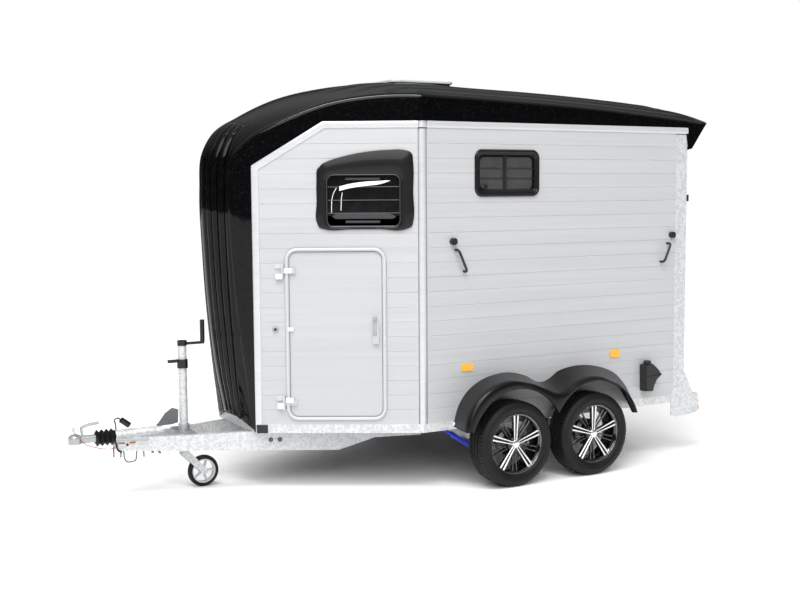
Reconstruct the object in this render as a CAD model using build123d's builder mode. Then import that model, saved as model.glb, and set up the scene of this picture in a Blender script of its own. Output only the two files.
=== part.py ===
"""Tandem-axle horse trailer with a tapered front, built in millimetres.

The trailer travels towards -X, its left side faces -Y and the ground is Z = 0.
X = 0 is halfway along the whole length, Y = 0 is the centre plane.
"""
from build123d import *
import math
import os

os.makedirs("parts", exist_ok=True)

# Road wheels and axles
front_axle_x = 430
axle_spacing = 681
tyre_radius = 300
tyre_width = 195
tyre_bead_radius = 205
wheel_outer_y = 1175
rim_lip_radius = 214
rim_barrel_radius = 188
rim_wall = 7
hub_face_y = 1120
spoke_pairs = 5
drum_radius = 95
spindle_radius = 17
running_gap = 0.1
arm_length = 165
arm_drop = 35
spindle_length = 140
axle_tube = 84
axle_half_length = 845
arm_width = 40
backing_plate_radius = 98
backing_plate_thickness = 8
bearer_y = 720
bearer_width = 60
damper_radius = 18
damper_reach = 380
damper_y = 800
damper_foot_reach = 130
damper_foot_z = 228
cross_member_pitch = 400
cross_member_width = 40

# Body shell
kink_x = -180
rear_x = 2170
half_width = 930
taper_angle = 30.9
front_panel = 1152
sill_bottom = 405
sill_height = 60
sill_width = 60
wall_top = 2515
wall = 28
trim_width = 50
trim_proud = 6
plank_pitch = 100
plank_groove = 2.5
front_edge_top = 2224
slope_start = 669
corner_post_radius = 26
post_depth = 110
post_width = 80
header_bottom = 2335
header_top = 2460
seat_gap = 0.3

# Moulded nose and roof
grp_wall = 6
nose_x = -1305
nose_crown = 85
nose_arch = 100
nose_bottom = 425
roof_tip_x = 2357
roof_tip_z = 2554
hood_lip_z = 2349
hood_knee_x = 2217
hood_knee_z = 2361

# Rear ramp and upper flap
ramp_thickness = 40
ramp_top = 2040
ramp_gap = 6
ramp_pin_out = 15
ramp_pin_z = 455
flap_gap = 10

# Drawbar and chassis
drawbar_front_x = -2046
drawbar_front_y = 50
drawbar_spread = 0.25
rail_front_height = 79
rail_deep_height = 168
rail_deep_x = -575
rail_shallow_x = -320
rail_shallow_height = 95
rail_end_x = 10
rail_thickness = 4
rail_flange = 45
coupling_nose_x = -2355
coupling_z = 418
housing_radius = 42
housing_length = 330

# Jockey wheel
jockey_x = -1560
jockey_tube_radius = 29
jockey_top = 1000
jockey_bottom = 282
jockey_wheel_radius = 110
jockey_wheel_width = 52
jockey_trail = 132

taper = math.radians(taper_angle)
floor_top = sill_bottom + sill_height
rear_axle_x = front_axle_x + axle_spacing
front_edge_x = kink_x - front_panel * math.cos(taper)
front_edge_y = half_width - front_panel * math.sin(taper)
nose_half = half_width - (kink_x - nose_x) * math.tan(taper)

left_panel = Plane(
    origin=(kink_x, -half_width, 0),
    x_dir=(math.cos(taper), -math.sin(taper), 0),
    z_dir=(-math.sin(taper), -math.cos(taper), 0),
)
left_side = Plane.XZ.offset(half_width)
axle_tube_z = tyre_radius + arm_drop
bearer_depth = sill_bottom - axle_tube_z - axle_tube / 2
damper_top_x = front_axle_x - damper_reach
bearer_front_x = damper_top_x - cross_member_width / 2
bearer_rear_x = damper_top_x + axle_spacing + cross_member_pitch + cross_member_width / 2
bearer_length = bearer_rear_x - bearer_front_x
bearer_middle_x = (bearer_rear_x + bearer_front_x) / 2
cross_member_places = [
    damper_top_x - 2 * cross_member_pitch,
    damper_top_x - cross_member_pitch,
    damper_top_x,
    damper_top_x + axle_spacing / 2,
    damper_top_x + axle_spacing,
    damper_top_x + axle_spacing + cross_member_pitch,
    damper_top_x + axle_spacing + 2 * cross_member_pitch,
    damper_top_x + axle_spacing + 3 * cross_member_pitch,
]


def save(part, name):
    """Label a finished piece and write it as one STEP file."""
    part.label = name
    export_step(part, f"parts/{name}.step")


def body_plan(inset=0.0, front_x=None):
    """Plan polygon of the body, cut square at front_x."""
    cut_x = front_edge_x if front_x is None else front_x
    cut_y = half_width - (kink_x - cut_x) * math.tan(taper)
    with BuildSketch() as plan:
        with BuildLine():
            Polyline(
                (rear_x, -half_width),
                (kink_x, -half_width),
                (cut_x, -cut_y),
                (cut_x, cut_y),
                (kink_x, half_width),
                (rear_x, half_width),
                close=True,
            )
        make_face()
        if inset:
            offset(amount=-inset, kind=Kind.INTERSECTION, mode=Mode.REPLACE)
    return plan.sketch


sill_outline = body_plan()
sill_inside = body_plan(inset=sill_width)
member_limit = body_plan(inset=sill_width / 2)

# Chassis frame: sills round the floor, cross members between them, axle bearers below
with BuildPart() as chassis_frame:
    with BuildSketch(Plane.XY.offset(sill_bottom)):
        add(sill_outline)
        add(sill_inside, mode=Mode.SUBTRACT)
    extrude(amount=sill_height)
    for member_x in cross_member_places:
        with BuildSketch(Plane.XY.offset(sill_bottom)):
            with Locations((member_x, 0)):
                Rectangle(cross_member_width, 2 * half_width)
            add(member_limit, mode=Mode.INTERSECT)
        extrude(amount=sill_height - wall)
    with BuildSketch(Plane.XY.offset(sill_bottom)):
        with Locations((bearer_middle_x, bearer_y), (bearer_middle_x, -bearer_y)):
            Rectangle(bearer_length, bearer_width)
    extrude(amount=-bearer_depth)
save(chassis_frame.part, "chassis_frame")

# Floor deck, let in between the sills
with BuildPart() as floor_deck:
    with BuildSketch(Plane.XY.offset(floor_top - wall)):
        add(sill_inside)
    extrude(amount=wall)
save(floor_deck.part, "floor_deck")


def wall_section(height_top):
    """Upright section of a plank wall: grooved outside, flat inside, x is inwards."""
    points = [(wall, floor_top), (0, floor_top)]
    groove_z = floor_top + plank_pitch
    while groove_z < height_top - plank_pitch / 2:
        points += [
            (0, groove_z - plank_groove),
            (plank_groove, groove_z),
            (0, groove_z + plank_groove),
        ]
        groove_z += plank_pitch
    points += [(0, height_top), (wall, height_top)]
    return points


post_inset = corner_post_radius - trim_proud / 2
post_shift = post_inset * math.tan(taper / 2)
panel_start = post_shift + corner_post_radius + seat_gap
post_front_x = rear_x - post_depth
trim_bottom = wall_top - trim_width


def grooved_slab(plane, start, end, height_top):
    """Plank wall along the plane's x from start to end, outer face on the plane."""
    section = Plane(
        origin=plane.from_local_coords(Vector(start, 0, 0)),
        x_dir=-plane.z_dir,
        z_dir=plane.x_dir,
    )
    with BuildPart() as slab:
        with BuildSketch(section):
            with BuildLine():
                Polyline(*wall_section(height_top), close=True)
            make_face()
        extrude(amount=end - start)
    return slab.part


# Side window and knob places on the main wall
window_low = 2005
window_high = 2330
window_front_x = 235
window_rear_x = 775
window_radius = 55
window_frame = 34
front_window_frame = 68
window_proud = 12
pane_thickness = 5
pane_depth = 14

side_window_centre = ((window_front_x + window_rear_x) / 2, (window_low + window_high) / 2)
side_window_size = (window_rear_x - window_front_x, window_high - window_low)


def side_window_sketch(inset=0.0):
    """Rounded outline of the side window on the left wall's plane."""
    with BuildSketch(left_side) as outline:
        with Locations(side_window_centre):
            RectangleRounded(
                side_window_size[0] - 2 * inset,
                side_window_size[1] - 2 * inset,
                window_radius - inset * 0.6,
            )
    return outline.sketch


# Front window, with its top falling away to the front
front_window_points = [(-65, 1815), (-713, 1815), (-713, 2204), (-519, 2280), (-65, 2320)]
front_window_radii = 45


def front_window_sketch(inset=0.0):
    """Outline of the front panel's window: square below, sloping at the top front."""
    with BuildSketch(left_panel) as outline:
        with BuildLine():
            FilletPolyline(*front_window_points, radius=front_window_radii, close=True)
        make_face()
        if inset:
            offset(amount=-inset, kind=Kind.ARC, mode=Mode.REPLACE)
    return outline.sketch


# Door in the front panel
door_front = 935
door_rear = 249
door_low = 492
door_high = 1672
door_radius = 85
door_frame_width = 26
door_gap = 5
door_frame_proud = 6
door_centre = (-(door_front + door_rear) / 2, (door_low + door_high) / 2)


def door_sketch(inset=0.0):
    """Rounded door outline on the left front panel, smaller by the inset all round."""
    with BuildSketch(left_panel) as outline:
        with Locations(door_centre):
            RectangleRounded(
                door_front - door_rear - 2 * inset,
                door_high - door_low - 2 * inset,
                door_radius - inset,
            )
    return outline.sketch


def front_outline(inset=0.0, start=0.0, low=0.0):
    """Front panel outline in the panel's plane, bevelled at the top front."""
    with BuildSketch(left_panel) as outline:
        with BuildLine():
            Polyline(
                (-start + inset, low - inset),
                (-front_panel, low - inset),
                (-front_panel, front_edge_top),
                (-slope_start, wall_top),
                (-start + inset, wall_top),
                close=True,
            )
        make_face()
        if inset:
            offset(amount=-inset, kind=Kind.INTERSECTION, mode=Mode.REPLACE)
    return outline.sketch


side_opening = side_window_sketch()
side_pane = side_window_sketch(window_frame)
front_opening = front_window_sketch()
front_pane = front_window_sketch(front_window_frame)
door_opening = door_sketch()
panel_outline = front_outline(0, panel_start, floor_top)
panel_inner = front_outline(trim_width, panel_start, floor_top)
centre_plane = Plane.XZ

# Main side wall, left; the right one is its mirror image
side_slab = grooved_slab(left_side, kink_x + panel_start, post_front_x, trim_bottom)
with BuildPart() as side_wall_left:
    add(side_slab)
    extrude(side_opening, amount=wall, both=True, mode=Mode.SUBTRACT)
save(side_wall_left.part, "side_wall_left")
with BuildPart() as side_wall_right:
    add(mirror(side_wall_left.part, about=centre_plane))
save(side_wall_right.part, "side_wall_right")

# Angled front panel, left, with door and window openings
front_slab = grooved_slab(left_panel, -front_panel + trim_width, -panel_start, trim_bottom)
with BuildPart() as front_wall_left:
    add(front_slab)
    extrude(panel_inner, amount=2 * wall, both=True, mode=Mode.INTERSECT)
    extrude(front_opening, amount=wall, both=True, mode=Mode.SUBTRACT)
    extrude(door_opening, amount=wall, both=True, mode=Mode.SUBTRACT)
save(front_wall_left.part, "front_wall_left")
with BuildPart() as front_wall_right:
    add(mirror(front_wall_left.part, about=centre_plane))
save(front_wall_right.part, "front_wall_right")

# Aluminium trims: top rails, the front panel's bevelled border and the corner posts
with BuildPart() as trim_half:
    with BuildSketch(left_side.offset(trim_proud)):
        with Locations(((kink_x + panel_start + rear_x) / 2, wall_top - trim_width / 2)):
            Rectangle(rear_x - kink_x - panel_start, trim_width)
    extrude(amount=-(wall + trim_proud))
    extrude(panel_outline, amount=trim_proud)
    extrude(panel_outline, amount=-wall)
    extrude(panel_inner, amount=2 * wall, both=True, mode=Mode.SUBTRACT)
    with BuildSketch(Plane.XY.offset(floor_top)):
        with Locations((kink_x + post_shift, -(half_width - post_inset))):
            Circle(corner_post_radius)
    extrude(amount=wall_top - floor_top)
with BuildPart() as wall_trims:
    add(trim_half.part)
    add(mirror(trim_half.part, about=centre_plane))
save(wall_trims.part, "wall_trims")

# Window frames and panes, both sides
with BuildPart() as frames_half:
    extrude(side_opening, amount=window_proud)
    extrude(side_opening, amount=-wall)
    extrude(front_opening, amount=window_proud)
    extrude(front_opening, amount=-wall)
    extrude(side_pane, amount=2 * wall, both=True, mode=Mode.SUBTRACT)
    extrude(front_pane, amount=2 * wall, both=True, mode=Mode.SUBTRACT)
with BuildPart() as window_frames:
    add(frames_half.part)
    add(mirror(frames_half.part, about=centre_plane))
save(window_frames.part, "window_frames")

with BuildPart() as panes_half:
    extrude(side_pane, amount=-(pane_depth + pane_thickness))
    extrude(side_pane, amount=-pane_depth, mode=Mode.SUBTRACT)
    extrude(front_pane, amount=-(pane_depth + pane_thickness))
    extrude(front_pane, amount=-pane_depth, mode=Mode.SUBTRACT)
with BuildPart() as window_glass:
    add(panes_half.part)
    add(mirror(panes_half.part, about=centre_plane))
save(window_glass.part, "window_glass")


# Moulded nose and roof: height of the roof's edge and of its crown at a few stations
roof_stations = [
    (-1420, 2281, 2381),
    (-1180, 2413, 2510),
    (-985, 2531, 2628),
    (-707, 2648, 2728),
    (-430, 2694, 2786),
    (-20, 2690, 2822),
    (600, 2671, 2806),
    (1220, 2644, 2789),
    (1800, 2605, 2762),
    (2420, 2548, 2714),
]
surface_columns = 25
surface_rows = 9
surface_reach = half_width + wall
roof_front_x = roof_stations[0][0]
roof_back_x = roof_stations[-1][0]
# Moulded nose: its edge on the cheek, from the foot up to the brow
nose_profile = [
    (-1161, nose_bottom - 50),
    (-1222, 800),
    (-1266, 1190),
    (-1294, 1620),
    (-1305, 2060),
    (-1286, 2282),
    (-1200, 2413),
    (-1090, 2560),
]
nose_columns = 17
nose_rows = 9
nose_reach = 520
roof_clear_z = 2900
slope_x = kink_x - slope_start * math.cos(taper)


def smooth_height(place_x, column):
    """Height at place_x on the smooth curve through one column of the roof stations."""
    index = 1
    while index < len(roof_stations) - 2 and roof_stations[index + 1][0] < place_x:
        index += 1
    before, near, far, after = (roof_stations[index + step] for step in (-1, 0, 1, 2))
    span = far[0] - near[0]
    share = (place_x - near[0]) / span
    near_slope = (far[column] - before[column]) / (far[0] - before[0]) * span
    far_slope = (after[column] - near[column]) / (after[0] - near[0]) * span
    blend = 3 * share**2 - 2 * share**3
    near_pull = share * (1 - share) ** 2 * near_slope
    far_pull = share**2 * (share - 1) * far_slope
    return near[column] * (1 - blend) + far[column] * blend + near_pull + far_pull


def roof_point(place_x, place_y, inset):
    """Point on the cambered roof surface, lowered by the inset."""
    inner_x = min(max(place_x, roof_stations[1][0]), roof_stations[-2][0])
    edge_y = half_width - max(0, kink_x - inner_x) * math.tan(taper)
    edge_z = smooth_height(inner_x, 1)
    crown_z = smooth_height(inner_x, 2)
    if place_x != inner_x:
        near = roof_stations[0] if place_x < inner_x else roof_stations[-1]
        share = (place_x - inner_x) / (near[0] - inner_x)
        edge_z += share * (near[1] - edge_z)
        crown_z += share * (near[2] - crown_z)
    return (place_x, place_y, crown_z - (crown_z - edge_z) * (place_y / edge_y) ** 2 - inset)


nose_edge = Spline(*[(point_x, 0, point_z) for point_x, point_z in nose_profile])


def nose_point(along, place_y, inset):
    """Point on the bowed nose surface at a share of its edge's length, moved in by the inset."""
    edge = nose_edge @ along
    edge_y = half_width - (kink_x - edge.X) * math.tan(taper)
    bow = nose_crown * (1 - (place_y / edge_y) ** 2)
    return (edge.X - bow + inset, place_y, edge.Z)


def surface_grid(point_at, starts, ends, columns, rows, reach, inset):
    """Points of a surface in rows across the body, from one end of its run to the other."""
    grid = []
    for column in range(columns):
        place = starts + (ends - starts) * column / (columns - 1)
        row = []
        for step in range(rows):
            row.append(point_at(place, reach * (2 * step / (rows - 1) - 1), inset))
        grid.append(row)
    return grid


def moulding_core(inset):
    """Solid inside the moulded nose and roof, smaller by the inset all round."""
    side_y = half_width - inset
    bend_x = kink_x + inset * (1 / math.cos(taper) - 1) / math.tan(taper)
    front_x = nose_x - nose_crown - wall
    front_y = side_y - (bend_x - front_x) * math.tan(taper)
    tip_x = roof_tip_x - inset
    lip_x = rear_x + trim_proud - inset
    foot_z = nose_bottom + inset
    arch_left = (-nose_reach, foot_z - nose_arch)
    arch_right = (nose_reach, foot_z - nose_arch)
    with BuildSketch(Plane.XY.offset(foot_z)) as plan:
        with BuildLine():
            Polyline(
                (front_x, front_y),
                (bend_x, side_y),
                (tip_x, side_y),
                (tip_x, -side_y),
                (bend_x, -side_y),
                (front_x, -front_y),
                close=True,
            )
        make_face()
    with BuildSketch(Plane.XZ.offset(-half_width)) as profile:
        with BuildLine():
            Polyline(
                (front_x, foot_z),
                (front_x, roof_clear_z),
                (tip_x, roof_clear_z),
                (tip_x, roof_tip_z),
                (hood_knee_x - inset, hood_knee_z + inset),
                (lip_x, hood_lip_z + inset),
                (lip_x, foot_z),
                close=True,
            )
        make_face()
    with BuildSketch(Plane.YZ.offset(front_x)) as arch:
        with BuildLine():
            ThreePointArc(arch_left, (0, foot_z + nose_arch), arch_right)
            Line(arch_right, arch_left)
        make_face()
    roof_grid = surface_grid(
        roof_point, roof_front_x, roof_back_x, surface_columns, surface_rows, surface_reach, inset
    )
    with BuildPart() as under_crown:
        extrude(Face.make_surface_from_array_of_points(roof_grid), amount=3000, dir=(0, 0, -1))
    nose_grid = surface_grid(nose_point, 0, 1, nose_columns, nose_rows, nose_reach, inset)
    nose_face = Face.make_surface_from_array_of_points(nose_grid)
    with BuildPart() as core:
        extrude(profile.sketch, amount=2 * half_width)
        extrude(plan.sketch, amount=roof_clear_z, mode=Mode.INTERSECT)
        add(under_crown.part, mode=Mode.INTERSECT)
        extrude(nose_face, amount=half_width, dir=(-1, 0, 0), mode=Mode.SUBTRACT)
        extrude(arch.sketch, amount=front_edge_x - front_x, mode=Mode.SUBTRACT)
    return core.part


outer_core = moulding_core(0)
inner_core = moulding_core(grp_wall)
with BuildPart() as moulded_shell:
    add(outer_core)
    add(inner_core, mode=Mode.SUBTRACT)

# Moulded nose, forward of the front panels
with BuildPart() as nose_shell:
    add(moulded_shell.part)
    split(bisect_by=Plane.YZ.offset(front_edge_x), keep=Keep.BOTTOM)
save(nose_shell.part, "nose_shell")

# Moulded roof with its side bands and the hood over the rear opening
panel_prism = front_outline()
with BuildPart() as left_prism:
    extrude(panel_prism, amount=2 * wall, both=True)
with BuildPart() as roof_shell:
    add(moulded_shell.part)
    split(bisect_by=Plane.YZ.offset(front_edge_x), keep=Keep.TOP)
    with BuildSketch(Plane.XZ.offset(-half_width - wall)):
        with BuildLine():
            Polyline(
                (front_edge_x - wall, 0),
                (roof_tip_x, 0),
                (roof_tip_x, hood_lip_z),
                (rear_x, hood_lip_z),
                (rear_x, wall_top),
                (slope_x, wall_top),
                (slope_x, floor_top),
                (front_edge_x - wall, floor_top),
                close=True,
            )
        make_face()
    extrude(amount=2 * half_width + 2 * wall, mode=Mode.SUBTRACT)
    add(left_prism.part, mode=Mode.SUBTRACT)
    add(mirror(left_prism.part, about=centre_plane), mode=Mode.SUBTRACT)
save(roof_shell.part, "roof_shell")

# Roof vent with its lid
vent_front_x = -20
vent_rear_x = 500
vent_half_width = 260
vent_seat_z = 2806
vent_rim = 26
vent_lid = 22
with BuildPart() as roof_vent_lid:
    with BuildSketch(Plane.XY.offset(vent_seat_z + vent_rim + seat_gap)):
        with Locations(((vent_front_x + vent_rear_x) / 2, 0)):
            RectangleRounded(vent_rear_x - vent_front_x, 2 * vent_half_width, 60)
    extrude(amount=vent_lid)
    fillet(faces().sort_by(Axis.Z)[-1].edges(), vent_lid * 0.6)
save(roof_vent_lid.part, "roof_vent_lid")
with BuildPart() as roof_vent_rim:
    with BuildSketch(Plane.XY.offset(vent_seat_z - 2 * wall)):
        with Locations(((vent_front_x + vent_rear_x) / 2, 0)):
            RectangleRounded(vent_rear_x - vent_front_x - 30, 2 * vent_half_width - 30, 50)
            RectangleRounded(
                vent_rear_x - vent_front_x - 90,
                2 * vent_half_width - 90,
                30,
                mode=Mode.SUBTRACT,
            )
    extrude(amount=vent_rim + 2 * wall)
    add(outer_core, mode=Mode.SUBTRACT)
save(roof_vent_rim.part, "roof_vent_rim")

# Galvanised rear frame with the light carriers
with BuildPart() as rear_frame:
    with BuildSketch(Plane.XY.offset(floor_top)):
        with Locations(
            (rear_x - post_depth / 2, half_width - post_width / 2),
            (rear_x - post_depth / 2, post_width / 2 - half_width),
        ):
            Rectangle(post_depth, post_width)
    extrude(amount=header_top - floor_top)
    with BuildSketch(Plane.XY.offset(header_bottom)):
        with Locations((rear_x - post_depth / 2, 0)):
            Rectangle(post_depth, 2 * half_width - post_width)
    extrude(amount=header_top - header_bottom)
save(rear_frame.part, "rear_frame")

carrier_rear_x = 2314
carrier_low = 300
carrier_high = 456
carrier_inner_y = 862
carrier_plate = 6
with BuildPart() as carrier_half:
    with BuildSketch(left_side.offset(carrier_plate)):
        with BuildLine():
            Polyline(
                (2036, carrier_low + 8),
                (2089, carrier_low - 10),
                (2250, carrier_low),
                (carrier_rear_x, carrier_low + 15),
                (carrier_rear_x, carrier_high),
                (2261, carrier_high),
                (rear_x + trim_proud, 631),
                (2036, 473),
                close=True,
            )
        make_face()
    extrude(amount=-carrier_plate + seat_gap)
    with BuildSketch(Plane.XZ.offset(half_width + seat_gap)):
        with BuildLine():
            Polyline(
                (rear_x + seat_gap, carrier_low),
                (carrier_rear_x, carrier_low + 15),
                (carrier_rear_x, carrier_high),
                (rear_x + seat_gap, carrier_high),
                close=True,
            )
        make_face()
    extrude(amount=carrier_inner_y - half_width)
with BuildPart() as light_carriers:
    add(carrier_half.part)
    add(mirror(carrier_half.part, about=centre_plane))
save(light_carriers.part, "light_carriers")

# Lamps: rear clusters and the white front markers
lamp_depth = 22
marker_x = 80
with BuildPart() as lamps_half:
    with BuildSketch(Plane.YZ.offset(carrier_rear_x)):
        with Locations((-(half_width + carrier_inner_y) / 2, (carrier_low + carrier_high) / 2 + 6)):
            RectangleRounded(half_width - carrier_inner_y - 8, 120, 12)
    extrude(amount=lamp_depth)
    with BuildSketch(left_side):
        with Locations((marker_x, sill_bottom + sill_height / 2 - 2)):
            RectangleRounded(58, 42, 14)
    extrude(amount=26)
with BuildPart() as lamps:
    add(lamps_half.part)
    add(mirror(lamps_half.part, about=centre_plane))
save(lamps.part, "lamps")

# Amber side reflectors
reflector_places = [(168, 830), (1477, 830)]
with BuildPart() as reflectors_half:
    with BuildSketch(left_side):
        with Locations(*reflector_places):
            RectangleRounded(88, 54, 5)
    extrude(amount=7)
with BuildPart() as reflectors:
    add(reflectors_half.part)
    add(mirror(reflectors_half.part, about=centre_plane))
save(reflectors.part, "reflectors")

# Wheel chocks in their holders on the side walls
with BuildPart() as chocks_half:
    with BuildSketch(left_side):
        with BuildLine():
            FilletPolyline(
                (1733, 501), (1922, 512), (1905, 640), (1840, 752), (1790, 752), radius=14, close=True
            )
        make_face()
    extrude(amount=80)
with BuildPart() as wheel_chocks:
    add(chocks_half.part)
    add(mirror(chocks_half.part, about=centre_plane))
save(wheel_chocks.part, "wheel_chocks")

# Black knobs and grab handles on the side walls
handle_radius = 9
handle_standoff = 45
knob_radius = 24
handle_ends = [((76, 1645), (144, 1496), (53, 1703)), ((1978, 1638), (1914, 1501), (2017, 1702))]
with BuildPart() as handles_half:
    for upper, lower, knob in handle_ends:
        out = half_width + handle_standoff
        with BuildLine() as bow:
            FilletPolyline(
                (upper[0], -half_width, upper[1]),
                (upper[0], -out, upper[1]),
                (lower[0], -out, lower[1]),
                (lower[0], -half_width, lower[1]),
                radius=22,
            )
        with BuildSketch(Plane.XZ.offset(half_width)):
            with Locations(upper):
                Circle(handle_radius)
        sweep(path=bow.line)
        with BuildSketch(left_side):
            with Locations(knob):
                Circle(knob_radius)
        extrude(amount=30)
with BuildPart() as grab_handles:
    add(handles_half.part)
    add(mirror(handles_half.part, about=centre_plane))
save(grab_handles.part, "grab_handles")

# Front doors: a frame let into the wall, and a leaf that swings on two hinges
leaf_inset = door_frame_width + door_gap
hinge_along = 952
hinge_out = 14
hinge_radius = 9
hinge_height = 34
hinge_arm = 5
hinge_heights = [615, 1515]
hinge_pin_radius = 4
leaf_sketch = door_sketch(leaf_inset)
frame_inner = door_sketch(door_frame_width)
hinge_base_sketches = []
with BuildPart() as frame_left:
    extrude(door_opening, amount=door_frame_proud)
    extrude(door_opening, amount=-wall)
    extrude(frame_inner, amount=2 * wall, both=True, mode=Mode.SUBTRACT)
    for hinge_z in hinge_heights:
        for step in (-1, 1):
            base_z = hinge_z + step * (hinge_height + 0.5)
            with BuildSketch(left_panel):
                with Locations((-(hinge_along + 22), base_z)):
                    Rectangle(56, hinge_height)
            extrude(amount=hinge_out - hinge_radius + 2)
            with BuildSketch(Plane.XY.offset(base_z - hinge_height / 2)):
                with Locations(left_panel.from_local_coords(Vector(-hinge_along, 0, hinge_out))):
                    Circle(hinge_radius)
            extrude(amount=hinge_height)
        with BuildSketch(Plane.XY.offset(hinge_z - 1.5 * hinge_height)):
            with Locations(left_panel.from_local_coords(Vector(-hinge_along, 0, hinge_out))):
                Circle(hinge_pin_radius)
        extrude(amount=3 * hinge_height)
with BuildPart() as door_frames:
    add(frame_left.part)
    add(mirror(frame_left.part, about=centre_plane))
save(door_frames.part, "door_frames")

with BuildPart() as tack_door:
    extrude(leaf_sketch, amount=-wall)
    for hinge_z in hinge_heights:
        with BuildSketch(left_panel):
            with Locations((-(door_front - leaf_inset - 22), hinge_z)):
                Rectangle(40, hinge_height)
        extrude(amount=hinge_out)
        with BuildSketch(left_panel.offset(hinge_out - hinge_arm)):
            with Locations((-(hinge_along + door_front - leaf_inset - 22) / 2, hinge_z)):
                Rectangle(hinge_along - door_front + leaf_inset + 22, hinge_height)
        extrude(amount=hinge_arm)
        with BuildSketch(Plane.XY.offset(hinge_z - hinge_height / 2)):
            with Locations(left_panel.from_local_coords(Vector(-hinge_along, 0, hinge_out))):
                Circle(hinge_radius)
        extrude(amount=hinge_height)
        with BuildSketch(Plane.XY.offset(hinge_z - hinge_height)):
            with Locations(left_panel.from_local_coords(Vector(-hinge_along, 0, hinge_out))):
                Circle(hinge_pin_radius + running_gap)
        extrude(amount=2 * hinge_height, mode=Mode.SUBTRACT)
    with BuildSketch(left_panel):
        with Locations((-322, 1092)):
            RectangleRounded(42, 150, 12)
    extrude(amount=16)
save(tack_door.part, "tack_door")
with BuildPart() as access_door:
    add(mirror(tack_door.part, about=centre_plane))
save(access_door.part, "access_door")

# Rear ramp, hinged at the sill, and the flap above it
ramp_half_width = half_width - post_width - ramp_gap
ramp_outer_x = rear_x - 5
ramp_pin_x = rear_x + ramp_pin_out
ramp_bottom = floor_top + ramp_gap
ramp_hinge_places = [-600, -200, 200, 600]
ramp_knuckle = 60
with BuildPart() as rear_ramp:
    with BuildSketch(Plane.YZ.offset(ramp_outer_x)):
        with Locations((0, (ramp_bottom + ramp_top) / 2)):
            Rectangle(2 * ramp_half_width, ramp_top - ramp_bottom)
    extrude(amount=-ramp_thickness)
    for place in ramp_hinge_places:
        with BuildSketch(Plane.XZ.offset(-place - ramp_knuckle / 2)):
            with BuildLine():
                Polyline(
                    (ramp_outer_x, ramp_bottom + 60),
                    (ramp_outer_x + 6, ramp_bottom + 60),
                    (ramp_pin_x + 8, ramp_pin_z),
                    (ramp_pin_x - 7, ramp_pin_z + 5),
                    (ramp_outer_x, ramp_bottom + 6),
                    close=True,
                )
            make_face()
            with Locations((ramp_pin_x, ramp_pin_z)):
                Circle(10)
                Circle(5 + running_gap, mode=Mode.SUBTRACT)
        extrude(amount=ramp_knuckle)
save(rear_ramp.part, "rear_ramp")
with BuildPart() as ramp_hinges:
    for place in ramp_hinge_places:
        for side in (-1, 1):
            lug_middle = place + side * (ramp_knuckle / 2 + 12.5)
            with BuildSketch(Plane.XZ.offset(-lug_middle - 10)):
                with Locations((ramp_pin_x, ramp_pin_z)):
                    Circle(10)
                with Locations(((rear_x + ramp_pin_x) / 2, ramp_pin_z - 20)):
                    Rectangle(ramp_pin_x - rear_x, 60)
            extrude(amount=20)
        with BuildSketch(Plane.XZ.offset(-place - ramp_knuckle / 2 - 20)):
            with Locations((ramp_pin_x, ramp_pin_z)):
                Circle(5)
        extrude(amount=ramp_knuckle + 40)
save(ramp_hinges.part, "ramp_hinges")

flap_thickness = 28
flap_low = ramp_top + flap_gap
flap_pin_x = rear_x + 14
flap_pin_z = header_bottom - 14
flap_knuckle = 50
flap_hinge_places = [-600, 0, 600]
with BuildPart() as rear_flap:
    with BuildSketch(Plane.YZ.offset(ramp_outer_x)):
        with Locations((0, (flap_low + header_bottom - flap_gap) / 2)):
            Rectangle(2 * ramp_half_width, header_bottom - flap_gap - flap_low)
    extrude(amount=-flap_thickness)
    for place in flap_hinge_places:
        with BuildSketch(Plane.XZ.offset(-place - flap_knuckle / 2)):
            with BuildLine():
                Polyline(
                    (ramp_outer_x, flap_pin_z - 50),
                    (ramp_outer_x + 5, flap_pin_z - 50),
                    (flap_pin_x + 8, flap_pin_z),
                    (ramp_outer_x, flap_pin_z - 6),
                    close=True,
                )
            make_face()
            with Locations((flap_pin_x, flap_pin_z)):
                Circle(9)
                Circle(4 + running_gap, mode=Mode.SUBTRACT)
        extrude(amount=flap_knuckle)
save(rear_flap.part, "rear_flap")
with BuildPart() as flap_hinges:
    for place in flap_hinge_places:
        for side in (-1, 1):
            lug_middle = place + side * (flap_knuckle / 2 + 10.5)
            with BuildSketch(Plane.XZ.offset(-lug_middle - 10)):
                with Locations((flap_pin_x, flap_pin_z)):
                    Circle(9)
                with Locations(((rear_x + flap_pin_x) / 2, flap_pin_z + 10)):
                    Rectangle(flap_pin_x - rear_x, 24)
            extrude(amount=20)
        with BuildSketch(Plane.XZ.offset(-place - flap_knuckle / 2 - 20)):
            with Locations((flap_pin_x, flap_pin_z)):
                Circle(4)
        extrude(amount=flap_knuckle + 40)
save(flap_hinges.part, "flap_hinges")

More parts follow.
